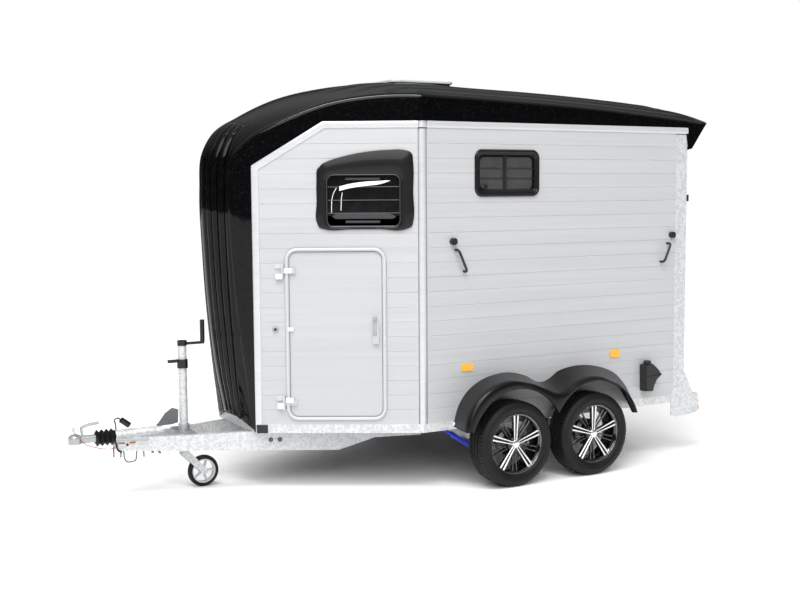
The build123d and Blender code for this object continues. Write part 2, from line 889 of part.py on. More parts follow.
# Black double-arched mudguards
guard_radius = 455
guard_sheet = 5
guard_saddle = 120
guard_foot_z = 425
guard_lip_radius = 352
guard_outer_y = 1190
wheel_places = [(front_axle_x, tyre_radius), (rear_axle_x, tyre_radius)]
with BuildSketch(Plane.XZ) as guard_outline:
    with Locations(*wheel_places):
        Circle(guard_radius)
    crease = guard_outline.vertices().filter_by_position(
        Axis.X, front_axle_x + 100, rear_axle_x - 100
    )
    fillet(crease, guard_saddle)
    with Locations((front_axle_x + axle_spacing / 2, guard_foot_z - guard_radius)):
        Rectangle(4 * guard_radius, 2 * guard_radius, mode=Mode.SUBTRACT)
with BuildSketch(Plane.XZ) as guard_inside:
    add(guard_outline.sketch)
    offset(amount=-guard_sheet, kind=Kind.INTERSECTION, mode=Mode.REPLACE)
    with Locations((front_axle_x + axle_spacing / 2, guard_foot_z)):
        Rectangle(axle_spacing + 2 * guard_radius - 4 * guard_sheet, 40)
with BuildSketch(Plane.XZ) as guard_fascia:
    add(guard_outline.sketch)
    with Locations(*wheel_places):
        Circle(guard_lip_radius, mode=Mode.SUBTRACT)
guard_face = Plane.XZ.offset(guard_outer_y)
with BuildPart() as mudguard_left:
    with BuildSketch(Plane.XZ.offset(half_width + seat_gap)):
        add(guard_outline.sketch)
        add(guard_inside.sketch, mode=Mode.SUBTRACT)
    extrude(amount=guard_outer_y - half_width - seat_gap)
    with BuildSketch(guard_face):
        add(guard_fascia.sketch)
    extrude(amount=-guard_sheet)
save(mudguard_left.part, "mudguard_left")
with BuildPart() as mudguard_right:
    add(mirror(mudguard_left.part, about=centre_plane))
save(mudguard_right.part, "mudguard_right")


def axle_pieces(wheel_x):
    """One rubber-sprung axle: cross tube, trailing arms, backing plates and spindles."""
    tube_x = wheel_x - arm_length
    with BuildPart() as side:
        with BuildSketch(Plane.XZ):
            with Locations((tube_x, axle_tube_z)):
                Circle(axle_tube / 2)
        extrude(amount=axle_half_length)
        with BuildSketch(Plane.XZ.offset(axle_half_length)):
            with Locations((tube_x, axle_tube_z)):
                Circle(axle_tube / 2)
            with Locations((wheel_x, tyre_radius)):
                Circle(axle_tube / 2 - 4)
            make_hull()
        extrude(amount=arm_width)
        with BuildSketch(Plane.XZ.offset(axle_half_length + arm_width)):
            with Locations((wheel_x, tyre_radius)):
                Circle(backing_plate_radius)
        extrude(amount=backing_plate_thickness)
        with BuildSketch(Plane.XZ.offset(axle_half_length + arm_width)):
            with Locations((wheel_x, tyre_radius)):
                Circle(spindle_radius)
        extrude(amount=spindle_length)
    with BuildPart() as axle:
        add(side.part)
        add(mirror(side.part, about=centre_plane))
    return axle.part


save(axle_pieces(front_axle_x), "axle_front")
save(axle_pieces(rear_axle_x), "axle_rear")

# Blue shock absorbers, from the cross members down to the trailing arms
with BuildPart() as dampers_half:
    for wheel_x in (front_axle_x, rear_axle_x):
        top_x = wheel_x - damper_reach
        foot_x = wheel_x - damper_foot_reach
        top_z = sill_bottom - damper_radius
        slope = math.atan2(top_z - damper_foot_z, foot_x - top_x)
        barrel = Plane(
            origin=(top_x, -damper_y, top_z),
            x_dir=(0, 1, 0),
            z_dir=(math.cos(slope), 0, -math.sin(slope)),
        )
        run = (foot_x - top_x) / math.cos(slope)
        with BuildSketch(barrel):
            Circle(damper_radius * 0.55)
        extrude(amount=run)
        with BuildSketch(barrel.offset(run * 0.25)):
            Circle(damper_radius)
        extrude(amount=run * 0.6)
        with BuildSketch(Plane.XZ.offset(damper_y - 15)):
            with Locations((top_x, top_z)):
                Circle(damper_radius)
            with Locations((foot_x, damper_foot_z)):
                Circle(damper_radius * 0.9)
        extrude(amount=30)
        with BuildSketch(Plane.XZ.offset(damper_y - 6)):
            with BuildLine():
                Polyline(
                    (foot_x - 12, damper_foot_z),
                    (foot_x + 12, damper_foot_z),
                    (foot_x + 24, axle_tube_z - axle_tube / 2 + 4),
                    (foot_x - 12, axle_tube_z - axle_tube / 2 + 4),
                    close=True,
                )
            make_face()
        extrude(amount=12)
    for wheel_x in (front_axle_x, rear_axle_x):
        with BuildSketch(Plane.XZ):
            with Locations((wheel_x - arm_length, axle_tube_z)):
                Circle(axle_tube / 2 + seat_gap)
        extrude(amount=half_width, mode=Mode.SUBTRACT)
with BuildPart() as dampers:
    add(dampers_half.part)
    add(mirror(dampers_half.part, about=centre_plane))
save(dampers.part, "dampers")


def wheel_at(wheel_x, side):
    """Rim with brake drum, and tyre, at one wheel place; side is -1 on the left."""
    outer = Plane(
        origin=(wheel_x, side * wheel_outer_y, tyre_radius),
        x_dir=(1, 0, 0),
        z_dir=(0, side, 0),
    )
    half_section = Plane(
        origin=outer.origin,
        x_dir=(0, 0, 1),
        z_dir=(-side, 0, 0),
    )
    with BuildPart() as tyre:
        with BuildSketch(half_section):
            with BuildLine():
                Polyline(*tyre_profile, close=True)
            make_face()
        revolve(axis=Axis(outer.origin, outer.z_dir))
    with BuildPart() as rim:
        with BuildSketch(half_section):
            with BuildLine():
                Polyline(*rim_profile, close=True)
            make_face()
        revolve(axis=Axis(outer.origin, outer.z_dir))
        with BuildSketch(outer.offset(hub_face_y - wheel_outer_y)) as spokes:
            Circle(62)
            with PolarLocations(0, spoke_pairs, start_angle=90):
                for twist in (-1, 1):
                    with BuildLine():
                        Polyline(
                            (40, twist * 4),
                            (rim_barrel_radius, twist * 10),
                            (rim_barrel_radius, twist * 36),
                            (40, twist * 28),
                            close=True,
                        )
                    make_face()
        extrude(amount=-22)
        with BuildSketch(outer.offset(hub_face_y - wheel_outer_y - 22)):
            Circle(drum_radius - 25)
        extrude(amount=-(hub_face_y - 22 - drum_back_y))
        with BuildSketch(outer.offset(drum_back_y - wheel_outer_y)):
            Circle(drum_radius)
        extrude(amount=drum_width)
        with BuildSketch(outer.offset(drum_back_y - wheel_outer_y)):
            Circle(spindle_radius + running_gap)
        extrude(amount=spindle_length, mode=Mode.SUBTRACT)
    return rim.part, tyre.part


drum_back_y = axle_half_length + arm_width + backing_plate_thickness + 5
drum_width = 70
shoulder = 30
tread_groove = 7
tread_groove_width = 9
rim_width = 160
bead_inset = (tyre_width - rim_width) / 2
tyre_profile = [
    (tyre_bead_radius, -bead_inset - 2),
    (rim_lip_radius + seat_gap, -bead_inset - 2),
    (tyre_bead_radius + 22, -4),
    (tyre_radius - 45, 0),
    (tyre_radius - 18, -8),
    (tyre_radius - 4, -shoulder),
]
for groove_place in (0.32, 0.5, 0.68):
    groove_y = -tyre_width * groove_place
    tyre_profile += [
        (tyre_radius, groove_y + tread_groove_width / 2),
        (tyre_radius - tread_groove, groove_y + tread_groove_width / 4),
        (tyre_radius - tread_groove, groove_y - tread_groove_width / 4),
        (tyre_radius, groove_y - tread_groove_width / 2),
    ]
tyre_profile += [
    (tyre_radius - 4, shoulder - tyre_width),
    (tyre_radius - 18, 8 - tyre_width),
    (tyre_radius - 45, -tyre_width),
    (tyre_bead_radius + 22, 4 - tyre_width),
    (tyre_bead_radius, bead_inset + 2 - tyre_width),
]
rim_profile = [
    (rim_barrel_radius, -bead_inset - 14),
    (rim_lip_radius - 4, -bead_inset + 2),
    (rim_lip_radius, -bead_inset),
    (rim_lip_radius, -bead_inset - 1.5),
    (tyre_bead_radius - seat_gap, -bead_inset - 2),
    (tyre_bead_radius - seat_gap, -bead_inset - 22),
    (rim_barrel_radius + rim_wall, -bead_inset - 34),
    (rim_barrel_radius + rim_wall, bead_inset + 30 - tyre_width),
    (tyre_bead_radius - seat_gap, bead_inset + 20 - tyre_width),
    (tyre_bead_radius - seat_gap, bead_inset + 2 - tyre_width),
    (rim_barrel_radius, bead_inset + 10 - tyre_width),
]
wheel_names = {
    "front_left": (front_axle_x, -1),
    "rear_left": (rear_axle_x, -1),
    "front_right": (front_axle_x, 1),
    "rear_right": (rear_axle_x, 1),
}
for wheel_name, (wheel_x, side) in wheel_names.items():
    rim, tyre = wheel_at(wheel_x, side)
    save(rim, f"rim_{wheel_name}")
    save(tyre, f"tyre_{wheel_name}")

# Drawbar rails: straight channels that spread from the coupling to under the floor
spread = math.atan(drawbar_spread)
rail_plane = Plane(
    origin=(drawbar_front_x, -drawbar_front_y, 0),
    x_dir=(math.cos(spread), -math.sin(spread), 0),
    z_dir=(-math.sin(spread), -math.cos(spread), 0),
)


def along_rail(station_x):
    """Distance along the rail's outer face to a station on the X axis."""
    return (station_x - drawbar_front_x) / math.cos(spread)


with BuildSketch(rail_plane) as rail_outline:
    with BuildLine():
        Polyline(
            (0, sill_bottom - seat_gap),
            (along_rail(rail_end_x), sill_bottom - seat_gap),
            (along_rail(rail_end_x), sill_bottom - rail_shallow_height),
            (along_rail(rail_shallow_x), sill_bottom - rail_shallow_height),
            (along_rail(rail_deep_x), sill_bottom - rail_deep_height),
            (0, sill_bottom - rail_front_height),
            close=True,
        )
    make_face()
with BuildSketch(rail_plane) as rail_inside:
    add(rail_outline.sketch)
    offset(amount=-rail_thickness, kind=Kind.INTERSECTION, mode=Mode.REPLACE)
with BuildPart() as drawbar_rail_left:
    extrude(rail_outline.sketch, amount=-rail_flange)
    with BuildPart(mode=Mode.PRIVATE) as hollow:
        extrude(rail_inside.sketch, amount=-rail_flange)
    add(hollow.part.moved(Location(rail_plane.z_dir * -rail_thickness)), mode=Mode.SUBTRACT)
    with BuildSketch(Plane.YZ.offset(drawbar_front_x - 10)):
        with Locations((0, coupling_z)):
            Circle(housing_radius + seat_gap)
    extrude(amount=housing_length + 20, mode=Mode.SUBTRACT)
save(drawbar_rail_left.part, "drawbar_rail_left")
with BuildPart() as drawbar_rail_right:
    add(mirror(drawbar_rail_left.part, about=centre_plane))
save(drawbar_rail_right.part, "drawbar_rail_right")

# Overrun housing, bellows and ball coupling
with BuildPart() as overrun_housing:
    with BuildSketch(Plane.YZ.offset(drawbar_front_x)):
        with Locations((0, coupling_z)):
            Circle(housing_radius)
    extrude(amount=housing_length)
save(overrun_housing.part, "overrun_housing")
bellows_length = 132
bellows_folds = 4
bellows_rear_x = drawbar_front_x - seat_gap
bellows_front_x = bellows_rear_x - bellows_length
with BuildPart() as bellows:
    with BuildSketch(Plane.XZ):
        with BuildLine():
            fold = bellows_length / bellows_folds
            outline = [(bellows_front_x, coupling_z), (bellows_front_x, coupling_z + 36)]
            for index in range(bellows_folds):
                start_x = bellows_front_x + index * fold
                outline += [(start_x + fold * 0.4, coupling_z + 56), (start_x + fold * 0.9, coupling_z + 38)]
            outline += [(bellows_rear_x, coupling_z + 44), (bellows_rear_x, coupling_z)]
            Polyline(*outline, close=True)
        make_face()
    revolve(axis=Axis((0, 0, coupling_z), (1, 0, 0)))
save(bellows.part, "bellows")
ball_radius = 25
ball_x = coupling_nose_x + 44
with BuildPart() as coupling_head:
    with BuildSketch(Plane.XY.offset(coupling_z - 22)):
        with Locations((ball_x, 0)):
            Circle(44)
    extrude(amount=62)
    fillet(edges().group_by(Axis.Z)[-1], 26)
    with BuildSketch(Plane.YZ.offset(ball_x)):
        with Locations((0, coupling_z + 2)):
            RectangleRounded(56, 48, 16)
    extrude(amount=bellows_front_x - seat_gap - ball_x)
    with BuildSketch(Plane.XZ) as ball_half:
        with Locations((ball_x, coupling_z)):
            Circle(ball_radius + 0.5)
        with Locations((ball_x + 50, coupling_z)):
            Rectangle(100, 100, mode=Mode.SUBTRACT)
    revolve(axis=Axis((ball_x, 0, 0), (0, 0, 1)), mode=Mode.SUBTRACT)
    with BuildSketch(Plane.XY.offset(coupling_z - 60)):
        with Locations((ball_x, 0)):
            Circle(ball_radius + 0.5)
    extrude(amount=60, mode=Mode.SUBTRACT)
    with BuildLine() as lever_line:
        FilletPolyline(
            (ball_x + 52, 0, coupling_z + 20),
            (ball_x + 40, 0, coupling_z + 82),
            (ball_x + 95, 0, coupling_z + 98),
            (ball_x + 160, 0, coupling_z + 104),
            radius=18,
        )
    with BuildSketch(Plane(lever_line.line @ 0, z_dir=lever_line.line % 0)):
        RectangleRounded(16, 26, 5)
    sweep(path=lever_line.line)
save(coupling_head.part, "coupling_head")

# Handbrake lever behind the overrun housing
with BuildPart() as handbrake_lever:
    with BuildSketch(Plane.XZ.offset(-10)):
        with BuildLine():
            FilletPolyline(
                (-1780, coupling_z + housing_radius + seat_gap),
                (-1650, coupling_z + housing_radius + seat_gap),
                (-1604, 470),
                (-1600, 560),
                (-1640, 572),
                (-1690, 540),
                (-1740, 475),
                radius=6,
                close=True,
            )
        make_face()
    extrude(amount=20)
save(handbrake_lever.part, "handbrake_lever")

# Jockey wheel: clamp, outer tube, crank, screw leg, fork and wheel
clamp_half = 20
rail_y_at_jockey = drawbar_front_y + drawbar_spread * (jockey_x - drawbar_front_x)
with BuildPart() as jockey_clamp:
    with BuildSketch(Plane.XY.offset(sill_bottom)):
        with Locations((jockey_x, 0)):
            Rectangle(90, 2 * rail_y_at_jockey - 30)
    extrude(amount=6)
    with BuildSketch(Plane.XY.offset(sill_bottom + 6)):
        with Locations((jockey_x, 0)):
            Circle(jockey_tube_radius + 9)
    extrude(amount=44)
    with BuildSketch(Plane.XY.offset(sill_bottom)):
        with Locations((jockey_x, 0)):
            Circle(jockey_tube_radius + seat_gap)
    extrude(amount=60, mode=Mode.SUBTRACT)
save(jockey_clamp.part, "jockey_clamp")

leg_radius = 24
leg_top = 720
with BuildPart() as jockey_tube:
    with BuildSketch(Plane.XY.offset(jockey_bottom)):
        with Locations((jockey_x, 0)):
            Circle(jockey_tube_radius)
    extrude(amount=jockey_top - jockey_bottom)
    with BuildSketch(Plane.XY.offset(jockey_bottom)):
        with Locations((jockey_x, 0)):
            Circle(leg_radius + running_gap)
    extrude(amount=leg_top + 20 - jockey_bottom, mode=Mode.SUBTRACT)
save(jockey_tube.part, "jockey_tube")

crank_reach = 148
crank_grip_top = 1170
with BuildPart() as jockey_crank:
    with BuildSketch(Plane.XY.offset(jockey_top + seat_gap)):
        with Locations((jockey_x, 0)):
            Circle(33)
    extrude(amount=34)
    with BuildSketch(Plane.XY.offset(jockey_top + 4)):
        with Locations((jockey_x + crank_reach / 2, 0)):
            SlotCenterToCenter(crank_reach, 26)
    extrude(amount=16)
    with BuildSketch(Plane.XY.offset(jockey_top + 18)):
        with Locations((jockey_x + crank_reach, 0)):
            Circle(16)
    extrude(amount=crank_grip_top - jockey_top - 18)
    with BuildSketch(Plane.XY.offset(845)):
        with Locations((jockey_x, 0)):
            Circle(37)
            Circle(jockey_tube_radius + seat_gap, mode=Mode.SUBTRACT)
    extrude(amount=60)
    with BuildSketch(Plane.XY.offset(885)):
        with Locations((jockey_x - 60, 0)):
            SlotCenterToCenter(70, 20)
        with Locations((jockey_x, 0)):
            Circle(jockey_tube_radius + seat_gap, mode=Mode.SUBTRACT)
    extrude(amount=20)
save(jockey_crank.part, "jockey_crank")

fork_top = jockey_bottom - 6
fork_arm_y = jockey_wheel_width / 2 + 6
fork_plate = 5
wheel_centre = (jockey_x + jockey_trail, jockey_wheel_radius)
with BuildPart() as jockey_leg:
    with BuildSketch(Plane.XY.offset(fork_top + seat_gap)):
        with Locations((jockey_x, 0)):
            Circle(leg_radius)
    extrude(amount=leg_top - fork_top)
save(jockey_leg.part, "jockey_leg")
with BuildPart() as jockey_fork:
    with BuildSketch(Plane.XY.offset(fork_top)):
        with Locations((jockey_x, 0)):
            Circle(jockey_tube_radius + 7)
    extrude(amount=-14)
    for side in (-1, 1):
        with BuildSketch(Plane.XZ.offset(side * (fork_arm_y + fork_plate / 2) - fork_plate / 2)):
            with Locations((jockey_x, fork_top - 26)):
                Circle(26)
            with Locations(wheel_centre):
                Circle(22)
            make_hull()
        extrude(amount=fork_plate)
    with BuildSketch(Plane.XZ.offset(-fork_arm_y - fork_plate)):
        with Locations(wheel_centre):
            Circle(8)
    extrude(amount=2 * (fork_arm_y + fork_plate))
save(jockey_fork.part, "jockey_fork")

jockey_plane = Plane(origin=(wheel_centre[0], 0, wheel_centre[1]), x_dir=(0, 0, 1), z_dir=(-1, 0, 0))
jockey_axis = Axis((wheel_centre[0], 0, wheel_centre[1]), (0, 1, 0))
half_tyre = jockey_wheel_width / 2
with BuildPart() as jockey_tyre:
    with BuildSketch(jockey_plane):
        with BuildLine():
            Polyline(
                (jockey_wheel_radius - 26, -half_tyre + 6),
                (jockey_wheel_radius - 12, -half_tyre),
                (jockey_wheel_radius - 3, -half_tyre + 8),
                (jockey_wheel_radius, -8),
                (jockey_wheel_radius, 8),
                (jockey_wheel_radius - 3, half_tyre - 8),
                (jockey_wheel_radius - 12, half_tyre),
                (jockey_wheel_radius - 26, half_tyre - 6),
                close=True,
            )
        make_face()
    revolve(axis=jockey_axis)
save(jockey_tyre.part, "jockey_tyre")
rim_outer = jockey_wheel_radius - 26
with BuildPart() as jockey_rim:
    with BuildSketch(Plane.XZ.offset(-half_tyre + 6)):
        with Locations(wheel_centre):
            Circle(rim_outer)
            Circle(rim_outer - 8, mode=Mode.SUBTRACT)
    extrude(amount=2 * half_tyre - 12)
    with BuildSketch(Plane.XZ.offset(-half_tyre + 2)):
        with Locations(wheel_centre):
            Circle(20)
    extrude(amount=2 * half_tyre - 4)
    with BuildSketch(Plane.XZ.offset(-8)):
        with Locations(Location((*wheel_centre, 0))):
            with PolarLocations(rim_outer / 2, 5):
                Rectangle(rim_outer - 8, 14)
    extrude(amount=16)
    with BuildSketch(Plane.XZ.offset(-half_tyre)):
        with Locations(wheel_centre):
            Circle(8 + running_gap)
    extrude(amount=2 * half_tyre, mode=Mode.SUBTRACT)
save(jockey_rim.part, "jockey_rim")

# Thirteen-pin plug parked on the drawbar with its lead, and the breakaway cable
with BuildPart() as lead_plug:
    with BuildSketch(Plane(origin=(-2000, 0, 526), x_dir=(0, 1, 0), z_dir=(0.8, 0, -0.6))):
        Circle(20)
    extrude(amount=70)
    add(overrun_housing.part, mode=Mode.SUBTRACT)
save(lead_plug.part, "lead_plug")
with BuildLine() as lead_line:
    FilletPolyline(
        (-2036, 0, coupling_z + housing_radius + 0.3),
        (-2036, 0, 490),
        (-2044, 0, 528),
        (-2020, 0, 541),
        (-2000.3, 0, 526.3),
        radius=12,
    )
with BuildPart() as plug_lead:
    with BuildSketch(Plane(lead_line.line @ 0, z_dir=lead_line.line % 0)):
        Circle(4.5)
    sweep(path=lead_line.line)
save(plug_lead.part, "plug_lead")

# Stall partition with its posts, and the bars across the stalls
partition_front_x = 60
partition_rear_x = 1960
with BuildPart() as stall_partition:
    with BuildSketch(Plane.XZ.offset(-20)):
        with Locations(((partition_front_x + partition_rear_x) / 2, 1260)):
            RectangleRounded(partition_rear_x - partition_front_x, 1150, 120)
    extrude(amount=40)
    with BuildSketch(Plane.XY.offset(floor_top)):
        with Locations((partition_front_x, 0), (partition_rear_x, 0)):
            Circle(24)
    extrude(amount=1900)
save(stall_partition.part, "stall_partition")
with BuildPart() as stall_bars:
    for bar_x, bar_z in ((partition_front_x - 60, 1250), (partition_rear_x + 60, 1150)):
        with BuildSketch(Plane.XZ.offset(-half_width + wall)):
            with Locations((bar_x, bar_z)):
                Circle(20)
        extrude(amount=2 * (half_width - wall))
save(stall_bars.part, "stall_bars")
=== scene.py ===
"""Looks of the tandem-axle horse trailer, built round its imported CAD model.

Everything is in metres in the model's own frame: the trailer travels towards -X, its left
side faces -Y and the ground is Z = 0. CAD nodes that are right keep their meshes and get a
finish; the moulded nose and roof, mudguards, tyres, rims and the small fittings are new
surfaces worked out with numpy.
"""
from __future__ import annotations

import logging
import math
import sys
from dataclasses import dataclass, field
from enum import Enum
from typing import Any, Iterable, Sequence

import bmesh
import bpy
import numpy as np
from mathutils import Matrix, Vector

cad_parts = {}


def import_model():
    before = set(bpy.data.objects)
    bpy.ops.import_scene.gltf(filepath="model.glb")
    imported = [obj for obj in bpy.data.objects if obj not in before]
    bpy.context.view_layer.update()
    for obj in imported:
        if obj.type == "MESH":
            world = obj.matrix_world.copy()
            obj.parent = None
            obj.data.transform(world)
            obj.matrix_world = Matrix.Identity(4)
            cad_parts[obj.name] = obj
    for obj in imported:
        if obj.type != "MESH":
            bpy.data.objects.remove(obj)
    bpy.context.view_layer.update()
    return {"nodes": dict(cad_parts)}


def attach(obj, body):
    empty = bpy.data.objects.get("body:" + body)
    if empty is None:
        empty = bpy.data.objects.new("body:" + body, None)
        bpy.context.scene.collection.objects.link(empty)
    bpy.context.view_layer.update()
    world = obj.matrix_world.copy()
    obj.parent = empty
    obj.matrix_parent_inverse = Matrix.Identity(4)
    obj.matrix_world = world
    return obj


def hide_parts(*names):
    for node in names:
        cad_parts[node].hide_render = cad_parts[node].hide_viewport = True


log = logging.getLogger("trailer")

TAPER = math.radians(30.9)
KINK_X = -0.18
HALF_WIDTH = 0.93
# Top of the overrun housing, where the plug's lead comes out.
LEAD_FOOT = 0.4603


# Colours and finishes

ROUGHNESS_SWING = 0.08
LEAST_ROUGHNESS = 0.02
COAT_ROUGHNESS = 0.03
ROLLED_STRETCH = (0.02, 0.02, 1.0)
FLAKE_RANGE = (0.975, 0.995)
GRAIN_RANGE = (0.25, 0.75)


def linear(code: str) -> tuple[float, float, float, float]:
    """Turn an sRGB hex colour into linear values.

    Args:
        code: Six hex digits with a leading hash.

    Returns:
        Red, green, blue and an alpha of one.
    """
    parts = [int(code[place : place + 2], 16) / 255 for place in (1, 3, 5)]
    turned = [p / 12.92 if p <= 0.04045 else ((p + 0.055) / 1.055) ** 2.4 for p in parts]
    return (turned[0], turned[1], turned[2], 1.0)


def add_node(
    tree: bpy.types.NodeTree, kind: str, inputs: dict[Any, Any] | None = None, **settings: Any
) -> Any:
    """Add a node, set its own settings and fill or link its inputs.

    Args:
        tree: The material's node tree.
        kind: Blender's name of the node type.
        inputs: Values or output sockets, by the input's name or number.
        settings: Properties of the node itself.

    Returns:
        The new node.
    """
    node = tree.nodes.new(kind)
    for name, value in settings.items():
        setattr(node, name, value)
    for name, value in (inputs or {}).items():
        if isinstance(value, bpy.types.NodeSocket):
            tree.links.new(value, node.inputs[name])
        else:
            node.inputs[name].default_value = value
    return node


class Texture(Enum):
    """The surface pattern that a finish carries."""

    MOULDED = "fine even grain"
    SPANGLE = "zinc crystals of a hot-dip bath"
    FLAKE = "metallic flakes under clear gelcoat"
    ROLLED = "faint rolling lines of extruded planks"


@dataclass(frozen=True)
class Finish:
    """One real finish: its colours, shine and pattern.

    The base and second colours are the two ends of the pattern. Scale is the pattern's size
    in millimetres, and its relief is a quarter of that times the bump.
    """

    name: str
    base: str
    second: str
    metallic: float
    roughness: float
    scale: float
    bump: float = 0.1
    coat: float = 0.0
    texture: Texture = Texture.MOULDED
    specular: float = 0.5

    def pattern(self, tree: bpy.types.NodeTree) -> bpy.types.NodeSocket:
        """Add the pattern on object places and return its strength, from 0 to 1."""
        stretch = ROLLED_STRETCH if self.texture is Texture.ROLLED else (1.0, 1.0, 1.0)
        place = add_node(tree, "ShaderNodeTexCoord")
        mapped = add_node(tree, "ShaderNodeMapping", {"Vector": place.outputs["Object"], "Scale": stretch})
        inputs = {"Vector": mapped.outputs["Vector"], "Scale": 1000.0 / self.scale}
        if self.texture in (Texture.SPANGLE, Texture.FLAKE):
            cells = add_node(tree, "ShaderNodeTexVoronoi", inputs, feature="F1")
            return add_node(tree, "ShaderNodeSeparateColor", {"Color": cells.outputs["Color"]}).outputs[0]
        grain = add_node(tree, "ShaderNodeTexNoise", {**inputs, "Detail": 4.0, "Roughness": 0.6})
        return grain.outputs["Fac"]

    def build(self) -> bpy.types.Material:
        """Make the material once and return it."""
        known = bpy.data.materials.get(self.name)
        if known is not None:
            return known
        material = bpy.data.materials.new(self.name)
        material.use_nodes = True
        tree = material.node_tree
        tree.nodes.clear()
        strength = self.pattern(tree)
        ramp = add_node(tree, "ShaderNodeValToRGB", {"Fac": strength})
        span = FLAKE_RANGE if self.texture is Texture.FLAKE else GRAIN_RANGE
        for element, place, code in zip(ramp.color_ramp.elements, span, (self.base, self.second)):
            element.position = place
            element.color = linear(code)
        shine = add_node(tree, "ShaderNodeMapRange", {
            "Value": strength,
            "To Min": max(LEAST_ROUGHNESS, self.roughness - ROUGHNESS_SWING),
            "To Max": min(1.0, self.roughness + ROUGHNESS_SWING),
        })
        relief = {"Height": strength, "Strength": self.bump, "Distance": self.scale / 4000.0}
        shader = add_node(tree, "ShaderNodeBsdfPrincipled", {
            "Base Color": ramp.outputs["Color"],
            "Roughness": shine.outputs["Result"],
            "Normal": add_node(tree, "ShaderNodeBump", relief).outputs["Normal"],
            "Metallic": self.metallic,
            "Coat Weight": self.coat,
            "Coat Roughness": COAT_ROUGHNESS,
            "Specular IOR Level": self.specular,
        })
        add_node(tree, "ShaderNodeOutputMaterial", {"Surface": shader.outputs["BSDF"]})
        return material


# Pale satin planks: a soft even grey-white with faint lengthwise streaks.
PANEL = Finish(
    "aluminium_planks_powder_coated", "#b2b3b5", "#babbbd", 0.0, 0.42, 30.0, 0.02, texture=Texture.ROLLED
)
# Rounded silver edge profile, a little brighter and sharper than the planks.
TRIM = Finish("anodised_aluminium_trim", "#c9cbcd", "#d3d5d7", 0.35, 0.34, 12.0, 0.03, texture=Texture.ROLLED)
# Pale zinc crystals of 14 mm that catch the light differently.
GALVANISED = Finish(
    "hot_dip_galvanised_steel", "#c0c2c4", "#d5d7d8", 0.3, 0.45, 14.0, 0.04, texture=Texture.SPANGLE
)
# Brighter and smoother than the dipped parts.
ZINC = Finish("electroplated_zinc_steel", "#9fa2a4", "#b9bcbe", 0.5, 0.32, 6.0, 0.05)
# Deep black under a clear coat, with flakes drawn at 3 mm so that they show.
GELCOAT = Finish(
    "black_metallic_gelcoat", "#030304", "#35383b", 0.0, 0.30, 3.0, 0.0, 0.5, Texture.FLAKE, 0.03
)
# Mudguard plastic: near black with a sheen and a fine grain.
PLASTIC = Finish("black_grained_polyethylene", "#060607", "#0d0e0f", 0.0, 0.30, 2.0, 0.15, specular=0.3)
# Smooth black mouldings: frames, handles and caps.
SATIN_BLACK = Finish("black_moulded_nylon", "#0c0d0e", "#17181a", 0.0, 0.32, 3.0, 0.08)
# Dull black with a slight bloom.
RUBBER = Finish("vulcanised_tyre_rubber", "#090909", "#121213", 0.0, 0.55, 4.0, 0.15, specular=0.3)
# Mirror-like black between the machined spokes.
GLOSS_BLACK = Finish("gloss_black_alloy_paint", "#050506", "#0b0b0c", 0.0, 0.14, 20.0, 0.0, 1.0)
# Bright cut faces of the spokes and rim line.
MACHINED = Finish("diamond_turned_aluminium", "#d8dadc", "#eceeef", 0.85, 0.22, 3.0, 0.03)
# Almost black window pane with clear reflections.
GLASS = Finish("tinted_acrylic_pane", "#0b0c0d", "#101112", 0.0, 0.06, 60.0, 0.0, 1.0)
# Pale seal line round the door.
SEAL = Finish("grey_rubber_door_seal", "#b9bbbd", "#c6c8ca", 0.0, 0.5, 4.0, 0.05)
# Cream-white coated blocks.
HINGE = Finish("off_white_hinge_casting", "#d9dad8", "#e6e6e4", 0.0, 0.38, 3.0, 0.08)
# Brown film-faced floor.
PLYWOOD = Finish("phenolic_birch_floor", "#3a2f28", "#4a3c33", 0.0, 0.55, 8.0, 0.2)
# Soft dark stall fittings.
PADDING = Finish("black_vinyl_padding", "#151517", "#202023", 0.0, 0.5, 5.0, 0.2)
# Orange-yellow prism reflector.
AMBER = Finish("amber_reflector_acrylic", "#f2a20c", "#ffb824", 0.0, 0.2, 5.0, 0.3, 0.6)
# Deep red lamp lens.
LENS_RED = Finish("red_lamp_acrylic", "#8c0b0e", "#b01217", 0.0, 0.16, 6.0, 0.2, 0.8)
# Whitish marker lens.
LENS_CLEAR = Finish("clear_lamp_acrylic", "#dfe1e2", "#f2f3f4", 0.0, 0.15, 6.0, 0.2, 0.8)
# Bright blue enamel.
DAMPER_BLUE = Finish("blue_enamelled_damper", "#1f34c9", "#2a45e0", 0.0, 0.28, 10.0, 0.03, 0.4)
# Thin dark red breakaway wire.
CABLE_RED = Finish("red_coated_wire_rope", "#6e0c0c", "#8a1212", 0.0, 0.4, 2.0, 0.1)
# Milky grey roof lid.
LID = Finish("translucent_grey_vent_lid", "#b9bdc0", "#c8ccce", 0.0, 0.35, 10.0, 0.05, 0.2)
# Small painted marks on the rail.
ORANGE = Finish("orange_paint_mark", "#a3500f", "#b45c18", 0.0, 0.5, 4.0, 0.05)
# Charcoal moulding with a soft shine.
WINDOW_FRAME = Finish(
    "dark_gloss_window_moulding", "#111011", "#161516", 0.0, 0.34, 8.0, 0.02, 0.2, specular=0.25
)
# Dim grey bars and catches seen in the pane.
BAR_GREY = Finish("grey_window_ironmongery", "#3a3a3c", "#454547", 0.2, 0.35, 4.0, 0.05)
# Bright rail in the front pane.
# Painted reflection: a bright white streak across the front pane, a band with two thin lines running down
# from it.
PAINTED_PANE_REFLECTION = Finish("painted_pane_reflection_streak", "#eceded", "#f6f6f6", 0.0, 0.25, 6.0, 0.02)
# Side pane that shows a little of the pale inside.
PANE_GREY = Finish("smoked_acrylic_pane", "#3c3c3d", "#484849", 0.0, 0.10, 90.0, 0.0, 0.6)
